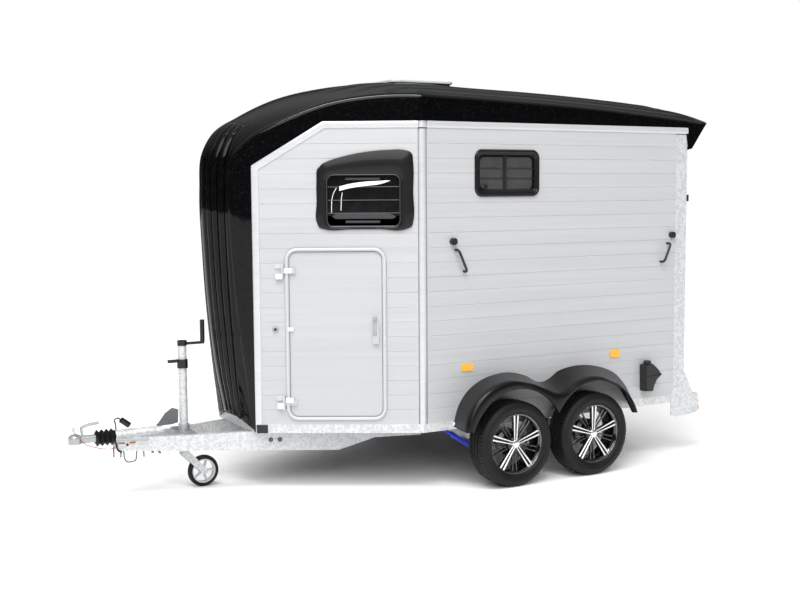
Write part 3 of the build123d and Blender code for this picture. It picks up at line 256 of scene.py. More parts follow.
# Painted shadow: dark grey lines on both sides of the door's bead.
PAINTED_BEAD_SHADOW = Finish("painted_shadow_beside_door_bead", "#77797b", "#85878a", 0.0, 0.6, 4.0, 0.05)
# Greyer plating of the hand lever and the rail's fittings.
BRAKE_GREY = Finish("zinc_plated_lever_steel", "#54565a", "#686a6d", 0.1, 0.45, 6.0, 0.05)
# Plain pale floor.
FLOOR = Finish("matt_white_studio_floor", "#fbfbfb", "#fdfdfd", 0.0, 0.9, 400.0, 0.0)

NODE_FINISHES: dict[str, Finish] = {
    start: finish
    for finish, starts in (
        (PANEL, ("side_wall", "front_wall", "tack_door", "access_door", "rear_ramp", "rear_flap")),
        (TRIM, ("wall_trims",)),
        (SEAL, ("door_frames", "jockey_rim")),
        (SATIN_BLACK, ("window_frames", "jockey_crank", "lead_plug", "plug_lead", "wheel_chocks")),
        (SATIN_BLACK, ("grab_handles", "roof_vent_rim")),
        (GLASS, ("window_glass",)),
        (GALVANISED, ("rear_frame", "light_carriers", "chassis_frame", "drawbar_rail", "ramp_hinges")),
        (GALVANISED, ("flap_hinges", "axle", "overrun_housing", "jockey_tube", "jockey_fork")),
        (ZINC, ("coupling_head", "jockey_clamp", "jockey_leg")),
        (BRAKE_GREY, ("handbrake_lever",)),
        (RUBBER, ("jockey_tyre", "bellows", "tyre")),
        (PLASTIC, ("mudguard",)),
        (LID, ("roof_vent_lid",)),
        (GELCOAT, ("roof_shell", "nose_shell")),
        (GLOSS_BLACK, ("rim",)),
        (PLYWOOD, ("floor_deck",)),
        (PADDING, ("stall_partition", "stall_bars")),
        (DAMPER_BLUE, ("dampers",)),
        (AMBER, ("reflectors",)),
        (LENS_RED, ("lamps",)),
    )
    for start in starts
}


# Surfaces


def chord_lengths(points: np.ndarray) -> np.ndarray:
    """Distance along the points' chords at which each of them lies."""
    return np.concatenate([[0.0], np.cumsum(np.linalg.norm(np.diff(points, axis=0), axis=1))])


def smooth_line(points: Sequence[Sequence[float]], samples: int) -> np.ndarray:
    """Smooth line through a few points: Catmull-Rom cubics on the chord lengths.

    Each span is the cubic whose end slopes are the slopes of its neighbours' chord; the
    samples are evenly spaced along the chords.

    Args:
        points: The points, each of any dimension.
        samples: How many points to return.

    Returns:
        An array of samples by dimension.
    """
    knots = np.asarray(points, float)
    chord = chord_lengths(knots)
    slopes = np.gradient(knots, chord, axis=0)
    wanted = np.linspace(0.0, chord[-1], samples)
    span = np.clip(np.searchsorted(chord, wanted, side="right") - 1, 0, len(chord) - 2)
    width = (chord[span + 1] - chord[span])[:, None]
    share = ((wanted - chord[span]) / width[:, 0])[:, None]
    near, far = knots[span], knots[span + 1]
    rise, fall = slopes[span] * width, slopes[span + 1] * width
    square, cube = share**2, share**3
    return (
        near * (2 * cube - 3 * square + 1)
        + rise * (cube - 2 * square + share)
        + far * (3 * square - 2 * cube)
        + fall * (cube - square)
    )


def smooth_step(value: np.ndarray, low: float, high: float) -> np.ndarray:
    """Ease from 0 at low to 1 at high along the cubic 3s^2 - 2s^3."""
    share = np.clip((value - low) / (high - low), 0.0, 1.0)
    return share * share * (3 - 2 * share)


def unit(vectors: np.ndarray) -> np.ndarray:
    """Vectors divided by their lengths."""
    return vectors / np.maximum(np.linalg.norm(vectors, axis=-1, keepdims=True), 1e-12)


@dataclass
class Shape:
    """Points and faces gathered from several surfaces before they become one mesh."""

    points: list[np.ndarray] = field(default_factory=list)
    faces: list[list[int]] = field(default_factory=list)
    count: int = 0

    def grid(
        self, points: np.ndarray, close_rows: bool = False, close_columns: bool = False, caps: bool = False
    ) -> "Shape":
        """Add a grid of points with a quad between each four neighbours.

        Args:
            points: Rows by columns by three.
            close_rows: Join the last row to the first.
            close_columns: Join the last column to the first.
            caps: Close the first and last row with one face each.

        Returns:
            The shape itself, so that calls can follow on.
        """
        rows, columns = points.shape[:2]
        place = np.arange(rows * columns).reshape(rows, columns) + self.count
        ends = [place[0][::-1].tolist(), place[-1].tolist()]
        if close_rows:
            place = np.vstack([place, place[:1]])
        if close_columns:
            place = np.hstack([place, place[:, :1]])
        quads = np.stack([place[:-1, :-1], place[:-1, 1:], place[1:, 1:], place[1:, :-1]], axis=-1)
        self.faces += quads.reshape(-1, 4).tolist()
        if caps:
            self.faces += ends
        self.points.append(points.reshape(-1, 3))
        self.count += rows * columns
        return self

    def solid(self, points: np.ndarray) -> "Shape":
        """Add a closed solid from a grid of rings, capped at both ends."""
        return self.grid(points, close_columns=True, caps=True)

    def loop(self, points: np.ndarray) -> "Shape":
        """Add a grid that is closed both ways."""
        return self.grid(points, close_rows=True, close_columns=True)

    def plate(self, panel: Panel, outline: np.ndarray, low: float, high: float, edge: float) -> "Shape":
        """Add a softened plate on a panel, from one height above it to another."""
        return self.solid(panel.at(slab(outline, low, high, edge)))

    def rod(self, path: np.ndarray, radius: float, sides: int = 8) -> "Shape":
        """Add a round rod along a path in space."""
        return self.solid(tube(path, ring(radius, sides)))

    def mirrored(self) -> "Shape":
        """The same shape on the other side of the centre plane."""
        other = Shape(count=self.count)
        other.points = [block * np.array([1.0, -1.0, 1.0]) for block in self.points]
        other.faces = [face[::-1] for face in self.faces]
        return other

    def join(self, other: "Shape") -> "Shape":
        """Add all of another shape's points and faces."""
        self.faces += [[place + self.count for place in face] for face in other.faces]
        self.points += other.points
        self.count += other.count
        return self


def ring(radius: float, sides: int) -> np.ndarray:
    """Points of a circle, sides by two."""
    turn = np.linspace(0.0, 2 * math.pi, sides, endpoint=False)
    return np.stack([np.cos(turn), np.sin(turn)], axis=-1) * radius


def revolve(profile: np.ndarray, centre: Sequence[float], axis: Sequence[float], sides: int) -> np.ndarray:
    """Turn a profile round an axis: radius times the turning direction plus reach along the axis.

    Args:
        profile: Points of radius and reach along the axis, in metres.
        centre: Where the axis starts.
        axis: Direction of the axis.
        sides: Steps round the whole turn.

    Returns:
        Profile points by sides by three, for a grid closed over its columns.
    """
    direction = unit(np.asarray(axis, float))
    first = unit(np.cross(direction, [0.0, 0.0, 1.0] if abs(direction[2]) < 0.9 else [1.0, 0.0, 0.0]))
    second = np.cross(direction, first)
    circle = ring(1.0, sides) @ np.stack([first, second])
    return (
        np.asarray(centre, float)
        + profile[:, None, :1] * circle[None]
        + profile[:, None, 1:2] * direction
    )


def tube(path: np.ndarray, section: np.ndarray) -> np.ndarray:
    """Carry a closed section along a path, kept square to it.

    Args:
        path: Points along the middle, in metres.
        section: Points of the section, first the sideways and then the upward measure.

    Returns:
        Path points by section points by three.
    """
    forward = unit(np.gradient(path, axis=0))
    guide = np.array([0.0, 0.0, 1.0])
    if np.abs(forward @ guide).max() > 0.95:
        guide = np.array([0.0, 1.0, 0.0]) if np.abs(forward[:, 1]).max() < 0.95 else np.array([1.0, 0.0, 0.0])
    sideways = unit(np.cross(forward, guide))
    upward = np.cross(sideways, forward)
    return path[:, None] + section[None, :, :1] * sideways[:, None] + section[None, :, 1:] * upward[:, None]


def raised(rings: Iterable[tuple[np.ndarray, float]]) -> np.ndarray:
    """Flat outlines, each with its height, stacked as the rings of a grid."""
    return np.stack([np.column_stack([flat, np.full(len(flat), height)]) for flat, height in rings])


def slab(outline: np.ndarray, low: float, high: float, edge: float) -> np.ndarray:
    """Rings of a plate with softened edges: its outline at four depths, drawn in at both ends.

    Args:
        outline: Closed outline, points by two.
        low: Depth of the back face.
        high: Depth of the front face.
        edge: How far the end rings are drawn in.

    Returns:
        Four by points by three, the last value being the depth.
    """
    ahead = unit(np.roll(outline, -1, axis=0) - outline)
    behind = unit(outline - np.roll(outline, 1, axis=0))
    inward = unit(ahead + behind)[:, ::-1] * np.array([-1.0, 1.0])
    area = np.sum(outline[:, 0] * np.roll(outline[:, 1], -1) - np.roll(outline[:, 0], -1) * outline[:, 1])
    inward = inward * (1.0 if area > 0 else -1.0)
    drawn = outline + inward * edge
    return raised([(drawn, low), (outline, low + edge), (outline, high - edge), (drawn, high)])


def rounded_box(width: float, height: float, radius: float, steps: int = 5) -> np.ndarray:
    """Outline of a rectangle with round corners about its middle."""
    quarter = np.linspace(0.0, math.pi / 2, steps)
    arc = np.stack([np.cos(quarter), np.sin(quarter)], axis=-1) * radius
    corners = []
    for turn, (right, up) in enumerate([(1, 1), (-1, 1), (-1, -1), (1, -1)]):
        angle = turn * math.pi / 2
        spin = np.array([[math.cos(angle), math.sin(angle)], [-math.sin(angle), math.cos(angle)]])
        corners.append(arc @ spin + [right * (width / 2 - radius), up * (height / 2 - radius)])
    return np.concatenate(corners)


def box(along: float, up: float, width: float, height: float, radius: float) -> np.ndarray:
    """Outline of a rectangle with round corners about a place."""
    return rounded_box(width, height, radius) + [along, up]


@dataclass(frozen=True)
class Panel:
    """A plane of the body: where along, up and out measures lead to."""

    origin: tuple[float, float, float]
    along: tuple[float, float, float]
    out: tuple[float, float, float]

    def at(self, measures: np.ndarray) -> np.ndarray:
        """Points for measures of along, up and out."""
        base = np.asarray(self.origin)
        return (
            base
            + measures[..., 0:1] * np.asarray(self.along)
            + measures[..., 1:2] * np.array([0.0, 0.0, 1.0])
            + measures[..., 2:3] * np.asarray(self.out)
        )


SIDE = Panel((0.0, -HALF_WIDTH, 0.0), (1.0, 0.0, 0.0), (0.0, -1.0, 0.0))
FRONT = Panel(
    (KINK_X, -HALF_WIDTH, 0.0),
    (-math.cos(TAPER), math.sin(TAPER), 0.0),
    (-math.sin(TAPER), -math.cos(TAPER), 0.0),
)


def make_piece(
    name: str,
    shape: Shape,
    finish: Finish,
    body: str = "trailer",
    replaces: Iterable[str] = (),
    smooth: float = 35.0,
) -> bpy.types.Object:
    """Turn a shape into one piece of the object with its finish and its body.

    Args:
        name: The piece's name.
        shape: Its points and faces.
        finish: What it is made of.
        body: The CAD body that it rides on.
        replaces: CAD nodes that it stands for.
        smooth: Edges sharper than this angle in degrees stay crisp.

    Returns:
        The new object.
    """
    mesh = bpy.data.meshes.new(name)
    mesh.from_pydata(np.concatenate(shape.points).tolist(), [], shape.faces)
    work = bmesh.new()
    work.from_mesh(mesh)
    bmesh.ops.remove_doubles(work, verts=work.verts, dist=1e-6)
    bmesh.ops.recalc_face_normals(work, faces=work.faces)
    work.to_mesh(mesh)
    work.free()
    mesh.shade_smooth()
    mesh.set_sharp_from_angle(angle=math.radians(smooth))
    mesh.materials.append(finish.build())
    piece = bpy.data.objects.new(name, mesh)
    bpy.context.scene.collection.objects.link(piece)
    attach(piece, body)
    if replaces:
        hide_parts(*replaces)
    log.info("%s: %d faces on %s", name, len(mesh.polygons), body)
    return piece


def make_pair(
    name: str, shape: Shape, finish: Finish, replaces: Iterable[str] = (), smooth: float = 35.0
) -> None:
    """Make one piece of the left side's shape and its mirror image, with make_piece's arguments."""
    both = Shape().join(shape).join(shape.mirrored())
    make_piece(name, both, finish, replaces=replaces, smooth=smooth)


RIM_ANGLE = 42.0


def thicken(piece: bpy.types.Object, amount: float) -> None:
    """Give an open surface a wall, grown inwards, with a crisp rim."""
    wall = piece.modifiers.new("wall", "SOLIDIFY")
    wall.thickness = amount
    wall.offset = -1.0
    crisp = piece.modifiers.new("crisp_rim", "EDGE_SPLIT")
    crisp.split_angle = math.radians(RIM_ANGLE)


# Moulded nose and roof


@dataclass
class Moulding:
    """The one-piece moulded skin: ribbed nose, brow, cambered roof, side bands and rear hood.

    Stations pair the skin's edge in the side plane with its crown on the centre plane. Across
    a station the skin is a parabola between them with a rounded shoulder at each edge.
    """

    edges: tuple = (
        (-1.166, 0.425), (-1.222, 0.80), (-1.266, 1.19), (-1.294, 1.62), (-1.305, 2.06),
        (-1.286, 2.282), (-1.180, 2.413), (-0.985, 2.531), (-0.707, 2.648), (-0.430, 2.694),
        (-0.020, 2.690), (0.600, 2.671), (1.220, 2.644), (1.800, 2.605), (2.170, 2.574),
        (2.354, 2.554),
    )
    crowns: tuple = (
        (-1.251, 0.525), (-1.307, 0.83), (-1.350, 1.21), (-1.379, 1.64), (-1.389, 2.08),
        (-1.366, 2.32), (-1.285, 2.452), (-1.085, 2.572), (-0.768, 2.710), (-0.454, 2.783),
        (-0.020, 2.822), (0.600, 2.806), (1.220, 2.789), (1.800, 2.762), (2.170, 2.737),
        (2.354, 2.716),
    )
    feet: tuple = (
        (-1.1655, 0.425), (-1.1685, 0.80), (-1.1685, 1.19), (-1.1685, 1.62), (-1.1685, 2.03),
        (-1.1685, 2.224), (-1.050, 2.307), (-0.930, 2.391), (-0.754, 2.515), (-0.430, 2.515),
        (-0.020, 2.515), (0.600, 2.515), (1.220, 2.515), (1.800, 2.515), (2.170, 2.515),
        (2.350, 2.547),
    )
    rib_lines: tuple = (0.045, 0.100, 0.152, 0.203)
    rib_gap: float = 0.013
    rib_depth: float = 0.020
    rib_reach: float = 0.226
    rib_round: float = 0.42
    rib_fade: tuple[float, float] = (2.40, 2.56)
    shoulder: float = 0.032
    foot_joins: float = -0.19
    hood_from: float = 2.1705
    hood_lip: tuple = ((2.17, 2.217, 2.357), (2.349, 2.361, 2.552))
    nose_back: float = -1.1655
    ridge_places: tuple = (0.30, 0.46, 0.62, 0.78)
    ridge_half: float = 0.034
    ridge_height: float = 0.009
    rows: int = 220
    wall: float = 0.005

    def across(self) -> tuple[np.ndarray, np.ndarray]:
        """Columns from the middle outwards: distances within the ribs, then shares beyond them.

        Returns:
            Distances in metres up to the rib reach, and shares of the rest up to the shoulder.
        """
        offsets = np.array([-0.021, -0.016, -0.012, -0.009, -0.0065, -0.0055])
        offsets = np.concatenate([offsets, -offsets[::-1]])
        near = (np.array(self.rib_lines)[:, None] + offsets).ravel()
        fill = np.array([0.0, 0.012, 0.0725, 0.126, 0.1775])
        inner = np.unique(np.concatenate([near, fill, [self.rib_reach]]))
        return inner, np.linspace(0.0, 1.0, 34)[1:]

    def groove(self, across: np.ndarray) -> np.ndarray:
        """Depth share across the ribs: one inside a gap, eased over each rib's rounded edge to zero."""
        away = np.abs(np.abs(across)[..., None] - np.array(self.rib_lines)).min(axis=-1)
        gap = 1.0 - smooth_step(away, self.rib_gap * 0.42, self.rib_gap * 0.56)
        rounding = self.rib_round * (1.0 - smooth_step(away, self.rib_gap * 0.45, self.rib_gap * 1.8))
        return np.maximum(gap, rounding)

    def surface(self) -> Shape:
        """The outer skin.

        For each station the side face runs up from the foot to the shoulder, a quarter circle
        of the shoulder's radius turns it over, and the parabola z = edge + (crown - edge) *
        (1 - t^2) carries it to the middle, t being the share of the half width. Gaps between
        the nose's ribs are sunk along the surface's own normal, and fade out past the brow.

        Returns:
            The shape of both halves.
        """
        edge = smooth_line(self.edges, self.rows)
        crown = smooth_line(self.crowns, self.rows)
        stations = np.linspace(0, 1, self.rows)
        foot = np.column_stack([np.interp(stations, self.shares(), line) for line in zip(*self.feet)])
        level = foot[:, 0] > self.foot_joins
        foot[level, 0] = edge[level, 0]
        hood = edge[:, 0] > self.hood_from
        foot[hood] = np.column_stack([edge[hood, 0], np.interp(edge[hood, 0], *self.hood_lip)])
        forward = edge[:, 0] < KINK_X
        normal = np.where(
            forward[:, None], [[-math.sin(TAPER), math.cos(TAPER), 0.0]], [[0.0, 1.0, 0.0]]
        )
        tangent = unit(np.gradient(edge, axis=0))
        run = np.where(forward, 1.0 / math.cos(TAPER), 1.0)
        rise = unit(np.column_stack([-tangent[:, 1], tangent[:, 0] * run]))
        upward = np.column_stack([rise[:, 0], np.zeros(self.rows), rise[:, 1]])
        upward[:, 1] = np.where(forward, rise[:, 0] * math.tan(TAPER), 0.0)
        upward = unit(upward)
        half = HALF_WIDTH - np.maximum(0.0, KINK_X - edge[:, 0]) * math.tan(TAPER)
        foot_half = HALF_WIDTH - np.maximum(0.0, KINK_X - foot[:, 0]) * math.tan(TAPER)
        top = np.column_stack([edge[:, 0], half, edge[:, 1]])
        base = np.column_stack([foot[:, 0], foot_half, foot[:, 1]])
        reach = np.linalg.norm(top - base, axis=1)
        radius = np.minimum(self.shoulder, reach * 0.45)[:, None]
        centre = top - radius * (upward + normal)
        columns = [base, 0.5 * (base + centre + radius * normal)]
        for angle in np.linspace(0.0, math.pi / 2, 7):
            columns.append(centre + radius * (math.cos(angle) * normal + math.sin(angle) * upward))
        last = columns[-1]
        inner, outer = self.across()
        limit = last[:, 1]
        spread = np.concatenate(
            [
                self.rib_reach + (limit[:, None] - self.rib_reach) * outer[::-1][1:],
                np.broadcast_to(inner[::-1], (self.rows, len(inner))),
            ],
            axis=1,
        )
        share = spread / limit[:, None]
        bulge = (1 - share**2)[..., None]
        peak = np.column_stack([crown[:, 0], np.zeros(self.rows), crown[:, 1]])
        flat = last[:, None] + bulge * (peak - last)[:, None]
        flat[..., 1] = spread
        side = np.stack(columns, axis=1)
        sheet = np.concatenate([side, flat], axis=1)
        along = np.gradient(sheet, axis=0)
        over = np.gradient(sheet, axis=1)
        out = unit(np.cross(over, along))
        fade = (1.0 - smooth_step(crown[:, 1], *self.rib_fade))[:, None]
        start = len(columns)
        depth = self.groove(sheet[..., 1]) * fade * self.rib_depth
        depth[:, :start] = 0.0
        ridge = self.ridges(sheet, crown)
        ridge[:, :start] = 0.0
        sheet = sheet + out * (ridge - depth)[..., None]
        toe = self.toe(sheet)
        sheet = np.concatenate([toe, sheet, self.hood(sheet[-1])], axis=0)
        whole = np.concatenate([sheet, sheet[:, -2::-1] * np.array([1.0, -1.0, 1.0])], axis=1)
        return Shape().grid(whole)

    def shares(self) -> np.ndarray:
        """Share of the way along the edge at which each station lies."""
        chord = chord_lengths(np.asarray(self.edges))
        return chord / chord[-1]

    def ridges(self, sheet: np.ndarray, crown: np.ndarray) -> np.ndarray:
        """Low lengthwise ridges on the roof: raised cosines 68 mm wide and 9 mm high."""
        away = np.abs(sheet[..., 1:2] - np.array(self.ridge_places)).min(axis=-1)
        wave = np.cos(np.clip(away / self.ridge_half, 0, 1) * math.pi)
        height = self.ridge_height * (0.5 + 0.5 * wave)
        shown = smooth_step(crown[:, 0], -0.75, -0.30) * (1 - smooth_step(crown[:, 0], 2.16, 2.30))
        return height * shown[:, None]

    def toe(self, sheet: np.ndarray) -> np.ndarray:
        """Rows that turn the foot of the nose under and run back to the front panel."""
        first = sheet[0]
        rows = []
        for back, down in ((None, 0.014), (0.030, 0.014), (0.010, 0.010), (0.003, 0.004)):
            row = first.copy()
            row[:, 2] -= down
            row[:, 0] = self.nose_back if back is None else np.minimum(first[:, 0] + back, self.nose_back)
            rows.append(row)
        return np.stack(rows)

    def hood(self, last: np.ndarray) -> np.ndarray:
        """Rows that close the rear hood: down the tip, then forward under it to the lip."""
        rows = []
        lowest = self.hood_lip[1][0]
        tip = last - [0.0, 0.0, 0.006]
        tip[:, 0] = np.minimum(last[:, 0] + 0.003, self.hood_lip[0][-1])
        rows.append(tip)
        for place_x, place_z in ((2.357, 2.556), (2.217, 2.361), (2.172, 2.349), (2.172, 2.375)):
            row = last.copy()
            row[:, 0] = place_x
            row[:, 2] = np.minimum(place_z, np.maximum(last[:, 2], lowest))
            rows.append(row)
        return np.stack(rows)

    def build(self) -> None:
        """Make the skin and put it in place of the two CAD mouldings."""
        skin = make_piece(
            "moulded_skin", self.surface(), GELCOAT,
            replaces=("nose_shell", "roof_shell"), smooth=42.0,
        )
        thicken(skin, self.wall)


# Wheels


@dataclass
class Wheel:
    """One road wheel: treaded tyre, black alloy rim with five machined twin spokes."""

    name: str
    axle_x: float
    side: int
    radius: float = 0.300
    outer_y: float = 1.175
    width: float = 0.195
    pairs: int = 5
    blocks: int = 72
    block_cut: float = 0.0045
    inner_cut: float = 0.0025
    bolt_circle: float = 0.046

    @property
    def body(self) -> str:
        """The CAD body of this wheel."""
        return f"wheel_{self.name}"

    def turn(self, profile: Sequence[Sequence[float]], sides: int) -> np.ndarray:
        """Revolve a profile of radius and depth behind the wheel's outer face."""
        points = np.asarray(profile, float)
        axis = (0.0, -float(self.side), 0.0)
        centre = (self.axle_x, self.side * self.outer_y, self.radius)
        return revolve(points, centre, axis, sides)

    def face(self, flat: np.ndarray, depth: np.ndarray | float) -> np.ndarray:
        """Points of the wheel's face: across, up and depth behind the outer face."""
        across, up = flat[..., 0], flat[..., 1]
        deep = np.broadcast_to(depth, across.shape)
        return np.stack([self.axle_x + across, self.side * (self.outer_y - deep), self.radius + up], axis=-1)

    def tyre(self) -> None:
        """Tyre: rounded sidewalls with two fine rings, four ribs and cut shoulder blocks.

        The tread's radius drops in the profile's own grooves that run round it, and in slots
        across the shoulders and inner ribs, where a cosine of the turning angle is high.
        """
        half = [
            (0.2045, 0.030), (0.2045, 0.021), (0.209, 0.0165), (0.216, 0.0125), (0.2200, 0.0085),
            (0.2215, 0.0095), (0.2235, 0.0072), (0.236, 0.0038), (0.2500, 0.0008), (0.2515, 0.0022),
            (0.2530, 0.0004), (0.262, 0.0010), (0.272, 0.0032), (0.2735, 0.0052), (0.2750, 0.0042),
            (0.282, 0.0075), (0.2885, 0.0125), (0.2935, 0.0185), (0.2965, 0.0250), (0.2980, 0.0330),
            (0.2985, 0.0450), (0.2985, 0.0570), (0.2900, 0.0585), (0.2900, 0.0655), (0.2992, 0.0670),
            (0.2998, 0.0800), (0.3000, 0.0925), (0.2910, 0.0940),
        ]
        other = [(radius, self.width - depth) for radius, depth in half[::-1]]
        profile = np.asarray(half + other)
        sides = 288
        points = self.turn(profile, sides)
        middle = np.array([self.axle_x, 0.0, self.radius])
        turn = np.linspace(0.0, 2 * math.pi, sides, endpoint=False)
        cut = (np.cos(turn * self.blocks) > 0.35).astype(float)[None]
        depth = profile[:, 1]
        from_edge = np.minimum(depth, self.width - depth)
        shoulder = (profile[:, 0] > 0.286) & (from_edge > 0.010) & (from_edge < 0.056)
        inner = (profile[:, 0] > 0.2985) & (from_edge > 0.066)
        drop = shoulder[:, None] * cut * self.block_cut
        drop = drop + inner[:, None] * np.roll(cut, 2, axis=1) * self.inner_cut
        outward = points - middle
        outward[..., 1] = 0.0
        points = points - unit(outward) * drop[..., None]
        make_piece(
            f"tyre_skin_{self.name}", Shape().loop(points), RUBBER, self.body,
            (f"tyre_{self.name}",), smooth=50.0,
        )

    def bar(
        self, angle: float, offset: float, width: tuple[float, float], reach: tuple[float, float],
        front: tuple[float, float], thick: float,
    ) -> np.ndarray:
        """One spoke bar as a grid: nine stations from hub to rim, eight points round each.

        The bar's middle line stands off the spoke's own line by the offset, which grows with
        the reach; its front face runs from one depth at the hub to another at the rim on a
        cosine, and its edges are cut off at 45 degrees.

        Args:
            angle: Direction of the spoke from the hub, in radians.
            offset: Sideways place of the bar at the rim.
            width: Width at the hub and at the rim.
            reach: Radius at the hub and at the rim.
            front: Depth of the front face at the hub and at the rim.
            thick: Depth of the bar.

        Returns:
            Stations by eight by three.
        """
        share = np.linspace(0.0, 1.0, 9)
        out = reach[0] + (reach[1] - reach[0]) * share
        wide = width[0] + (width[1] - width[0]) * share
        lean = offset * (0.55 + 0.45 * share)
        depth = front[0] + (front[1] - front[0]) * (0.5 - 0.5 * np.cos(math.pi * share))
        cut = np.minimum(0.0022, wide * 0.25)
        half = wide / 2
        edges = [-half, -half + cut, half - cut, half]
        sideways = np.stack(edges + edges[::-1], axis=1)
        front_edge = cut[:, None] * [1.0, 0.0, 0.0, 1.0]
        back_edge = np.broadcast_to([thick - 0.002, thick, thick, thick - 0.002], front_edge.shape)
        behind = np.concatenate([front_edge, back_edge], axis=1)
        sideways = sideways + lean[:, None]
        flat = np.stack(
            [
                np.cos(angle) * out[:, None] - np.sin(angle) * sideways,
                np.sin(angle) * out[:, None] + np.cos(angle) * sideways,
            ],
            axis=-1,
        )
        return self.face(flat, depth[:, None] + behind)

    def rim(self) -> None:
        """Rim barrel, hub, bolts, dark second spokes, machined twin spokes, rim line and cap."""
        barrel = [
            (0.2035, 0.170), (0.2035, 0.150), (0.196, 0.140), (0.190, 0.060), (0.1935, 0.050),
            (0.2015, 0.046), (0.2015, 0.024), (0.2100, 0.0195), (0.2120, 0.0185), (0.2105, 0.0175),
            (0.2040, 0.0190), (0.1965, 0.0270), (0.1900, 0.0400), (0.1820, 0.0600), (0.1800, 0.140),
            (0.190, 0.165), (0.200, 0.172),
        ]
        black = Shape().loop(self.turn(barrel, 96))
        dish = [
            (0.001, 0.160), (0.095, 0.160), (0.095, 0.120), (0.070, 0.105), (0.064, 0.060), (0.062, 0.044),
            (0.058, 0.038), (0.040, 0.034), (0.0305, 0.0325), (0.001, 0.0325),
        ]
        black.grid(self.turn(dish, 64), close_columns=True)
        silver = Shape()
        for number in range(self.pairs):
            angle = math.pi / 2 + number * 2 * math.pi / self.pairs
            between = angle + math.pi / self.pairs
            for hand in (-1, 1):
                for shape, way, offset, width, reach, front, thick in (
                    (black, angle, 0.0150, (0.0120, 0.0190), (0.026, 0.199), (0.0290, 0.0245), 0.026),
                    (silver, angle, 0.0150, (0.0075, 0.0130), (0.026, 0.2005), (0.0270, 0.0225), 0.004),
                    (black, between, 0.0170, (0.0080, 0.0100), (0.050, 0.194), (0.050, 0.0400), 0.016),
                ):
                    shape.solid(self.bar(way, hand * offset, width, reach, front, thick))
            bolt = ring(0.0085, 8) + self.bolt_circle * np.array([math.cos(between), math.sin(between)])
            black.solid(np.stack([self.face(bolt, depth) for depth in (0.044, 0.0305, 0.0300)]))
        make_piece(
            f"rim_black_{self.name}", black, GLOSS_BLACK, self.body, (f"rim_{self.name}",),
        )
        line = [(0.2030, 0.0222), (0.2055, 0.0190), (0.2105, 0.0165), (0.2125, 0.0172), (0.2120, 0.0200)]
        silver.loop(self.turn(line, 96))
        cap = [
            (0.0, 0.0180), (0.010, 0.0183), (0.020, 0.0197), (0.0270, 0.0225), (0.0300, 0.0275),
            (0.0300, 0.036),
        ]
        silver.grid(self.turn(cap, 40), close_columns=True)
        make_piece(f"rim_machined_{self.name}", silver, MACHINED, self.body, smooth=30.0)

    def build(self) -> None:
        """Make the tyre and the rim."""
        self.tyre()
        self.rim()


# Mudguards


@dataclass
class Mudguard:
    """Double-arched plastic mudguard over both wheels of one side."""

    side: int
    crest: tuple = (
        (0.052, 0.425), (0.059, 0.450), (0.092, 0.556), (0.168, 0.659), (0.291, 0.733), (0.447, 0.764),
        (0.557, 0.760), (0.670, 0.727), (0.770, 0.676), (0.809, 0.673), (0.870, 0.692), (0.949, 0.739),
        (1.050, 0.761), (1.186, 0.765), (1.359, 0.733), (1.483, 0.677), (1.591, 0.566), (1.665, 0.432),
    )
    ridge: tuple = (
        (0.012, 0.425), (0.018, 0.470), (0.060, 0.575), (0.169, 0.686), (0.351, 0.750), (0.521, 0.726),
        (0.664, 0.674), (0.745, 0.640), (0.790, 0.634), (0.850, 0.645), (0.938, 0.690), (1.071, 0.722),
        (1.206, 0.700), (1.326, 0.622), (1.423, 0.491), (1.460, 0.425),
    )
    samples: int = 150
    wall: float = 0.005
    outer_y: float = 1.188
    axles: tuple[float, float] = (0.430, 1.111)
    axle_height: float = 0.300
    arch: float = 0.388
    foot_rise: float = 0.125

    def lip(self) -> np.ndarray:
        """Lower edge of the outer face: arcs of 388 mm round both wheels that meet between them."""
        foot = math.pi - math.asin(self.foot_rise / self.arch)
        meet = math.acos((self.axles[1] - self.axles[0]) / 2 / self.arch)
        share = np.linspace(0.0, 2.0, self.samples)
        front = share <= 1.0
        sweep = meet - foot
        angle = np.where(front, foot + sweep * share, math.pi - meet + sweep * (share - 1.0))
        hub = np.where(front, *self.axles)
        across, up = self.arch * np.cos(angle), self.arch * np.sin(angle)
        return np.column_stack([hub + across, self.axle_height + up])

    def build(self) -> None:
        """Make the guard: crest on the wall, sloping top, rounded ridge, face and turned lip."""
        crest = smooth_line(self.crest, self.samples)
        ridge = smooth_line(self.ridge, self.samples)
        lip = self.lip()
        inward = unit(lip - ridge)
        root = HALF_WIDTH + 0.002
        rows = [(crest, root)]
        for share in (0.25, 0.5, 0.75, 0.9):
            rows.append((crest + (ridge - crest) * share, root + (1.150 - HALF_WIDTH) * share))
        for turn, reach in ((0.0, 1.158), (0.004, 1.170), (0.012, 1.180), (0.026, 1.186)):
            rows.append((ridge + inward * turn, reach))
        rows.append((ridge + (lip - ridge) * 0.55, self.outer_y))
        rows.append((lip - inward * 0.010, self.outer_y + 0.001))
        rows.append((lip, self.outer_y - 0.002))
        rows.append((lip + inward * 0.001, self.outer_y - 0.014))
        sheet = raised([(flat, self.side * reach) for flat, reach in rows])[..., [0, 2, 1]].transpose(1, 0, 2)
        name = "left" if self.side < 0 else "right"
        guard = make_piece(
            f"guard_skin_{name}", Shape().grid(sheet), PLASTIC,
            replaces=(f"mudguard_{name}",), smooth=40.0,
        )
        thicken(guard, self.wall)


# Windows


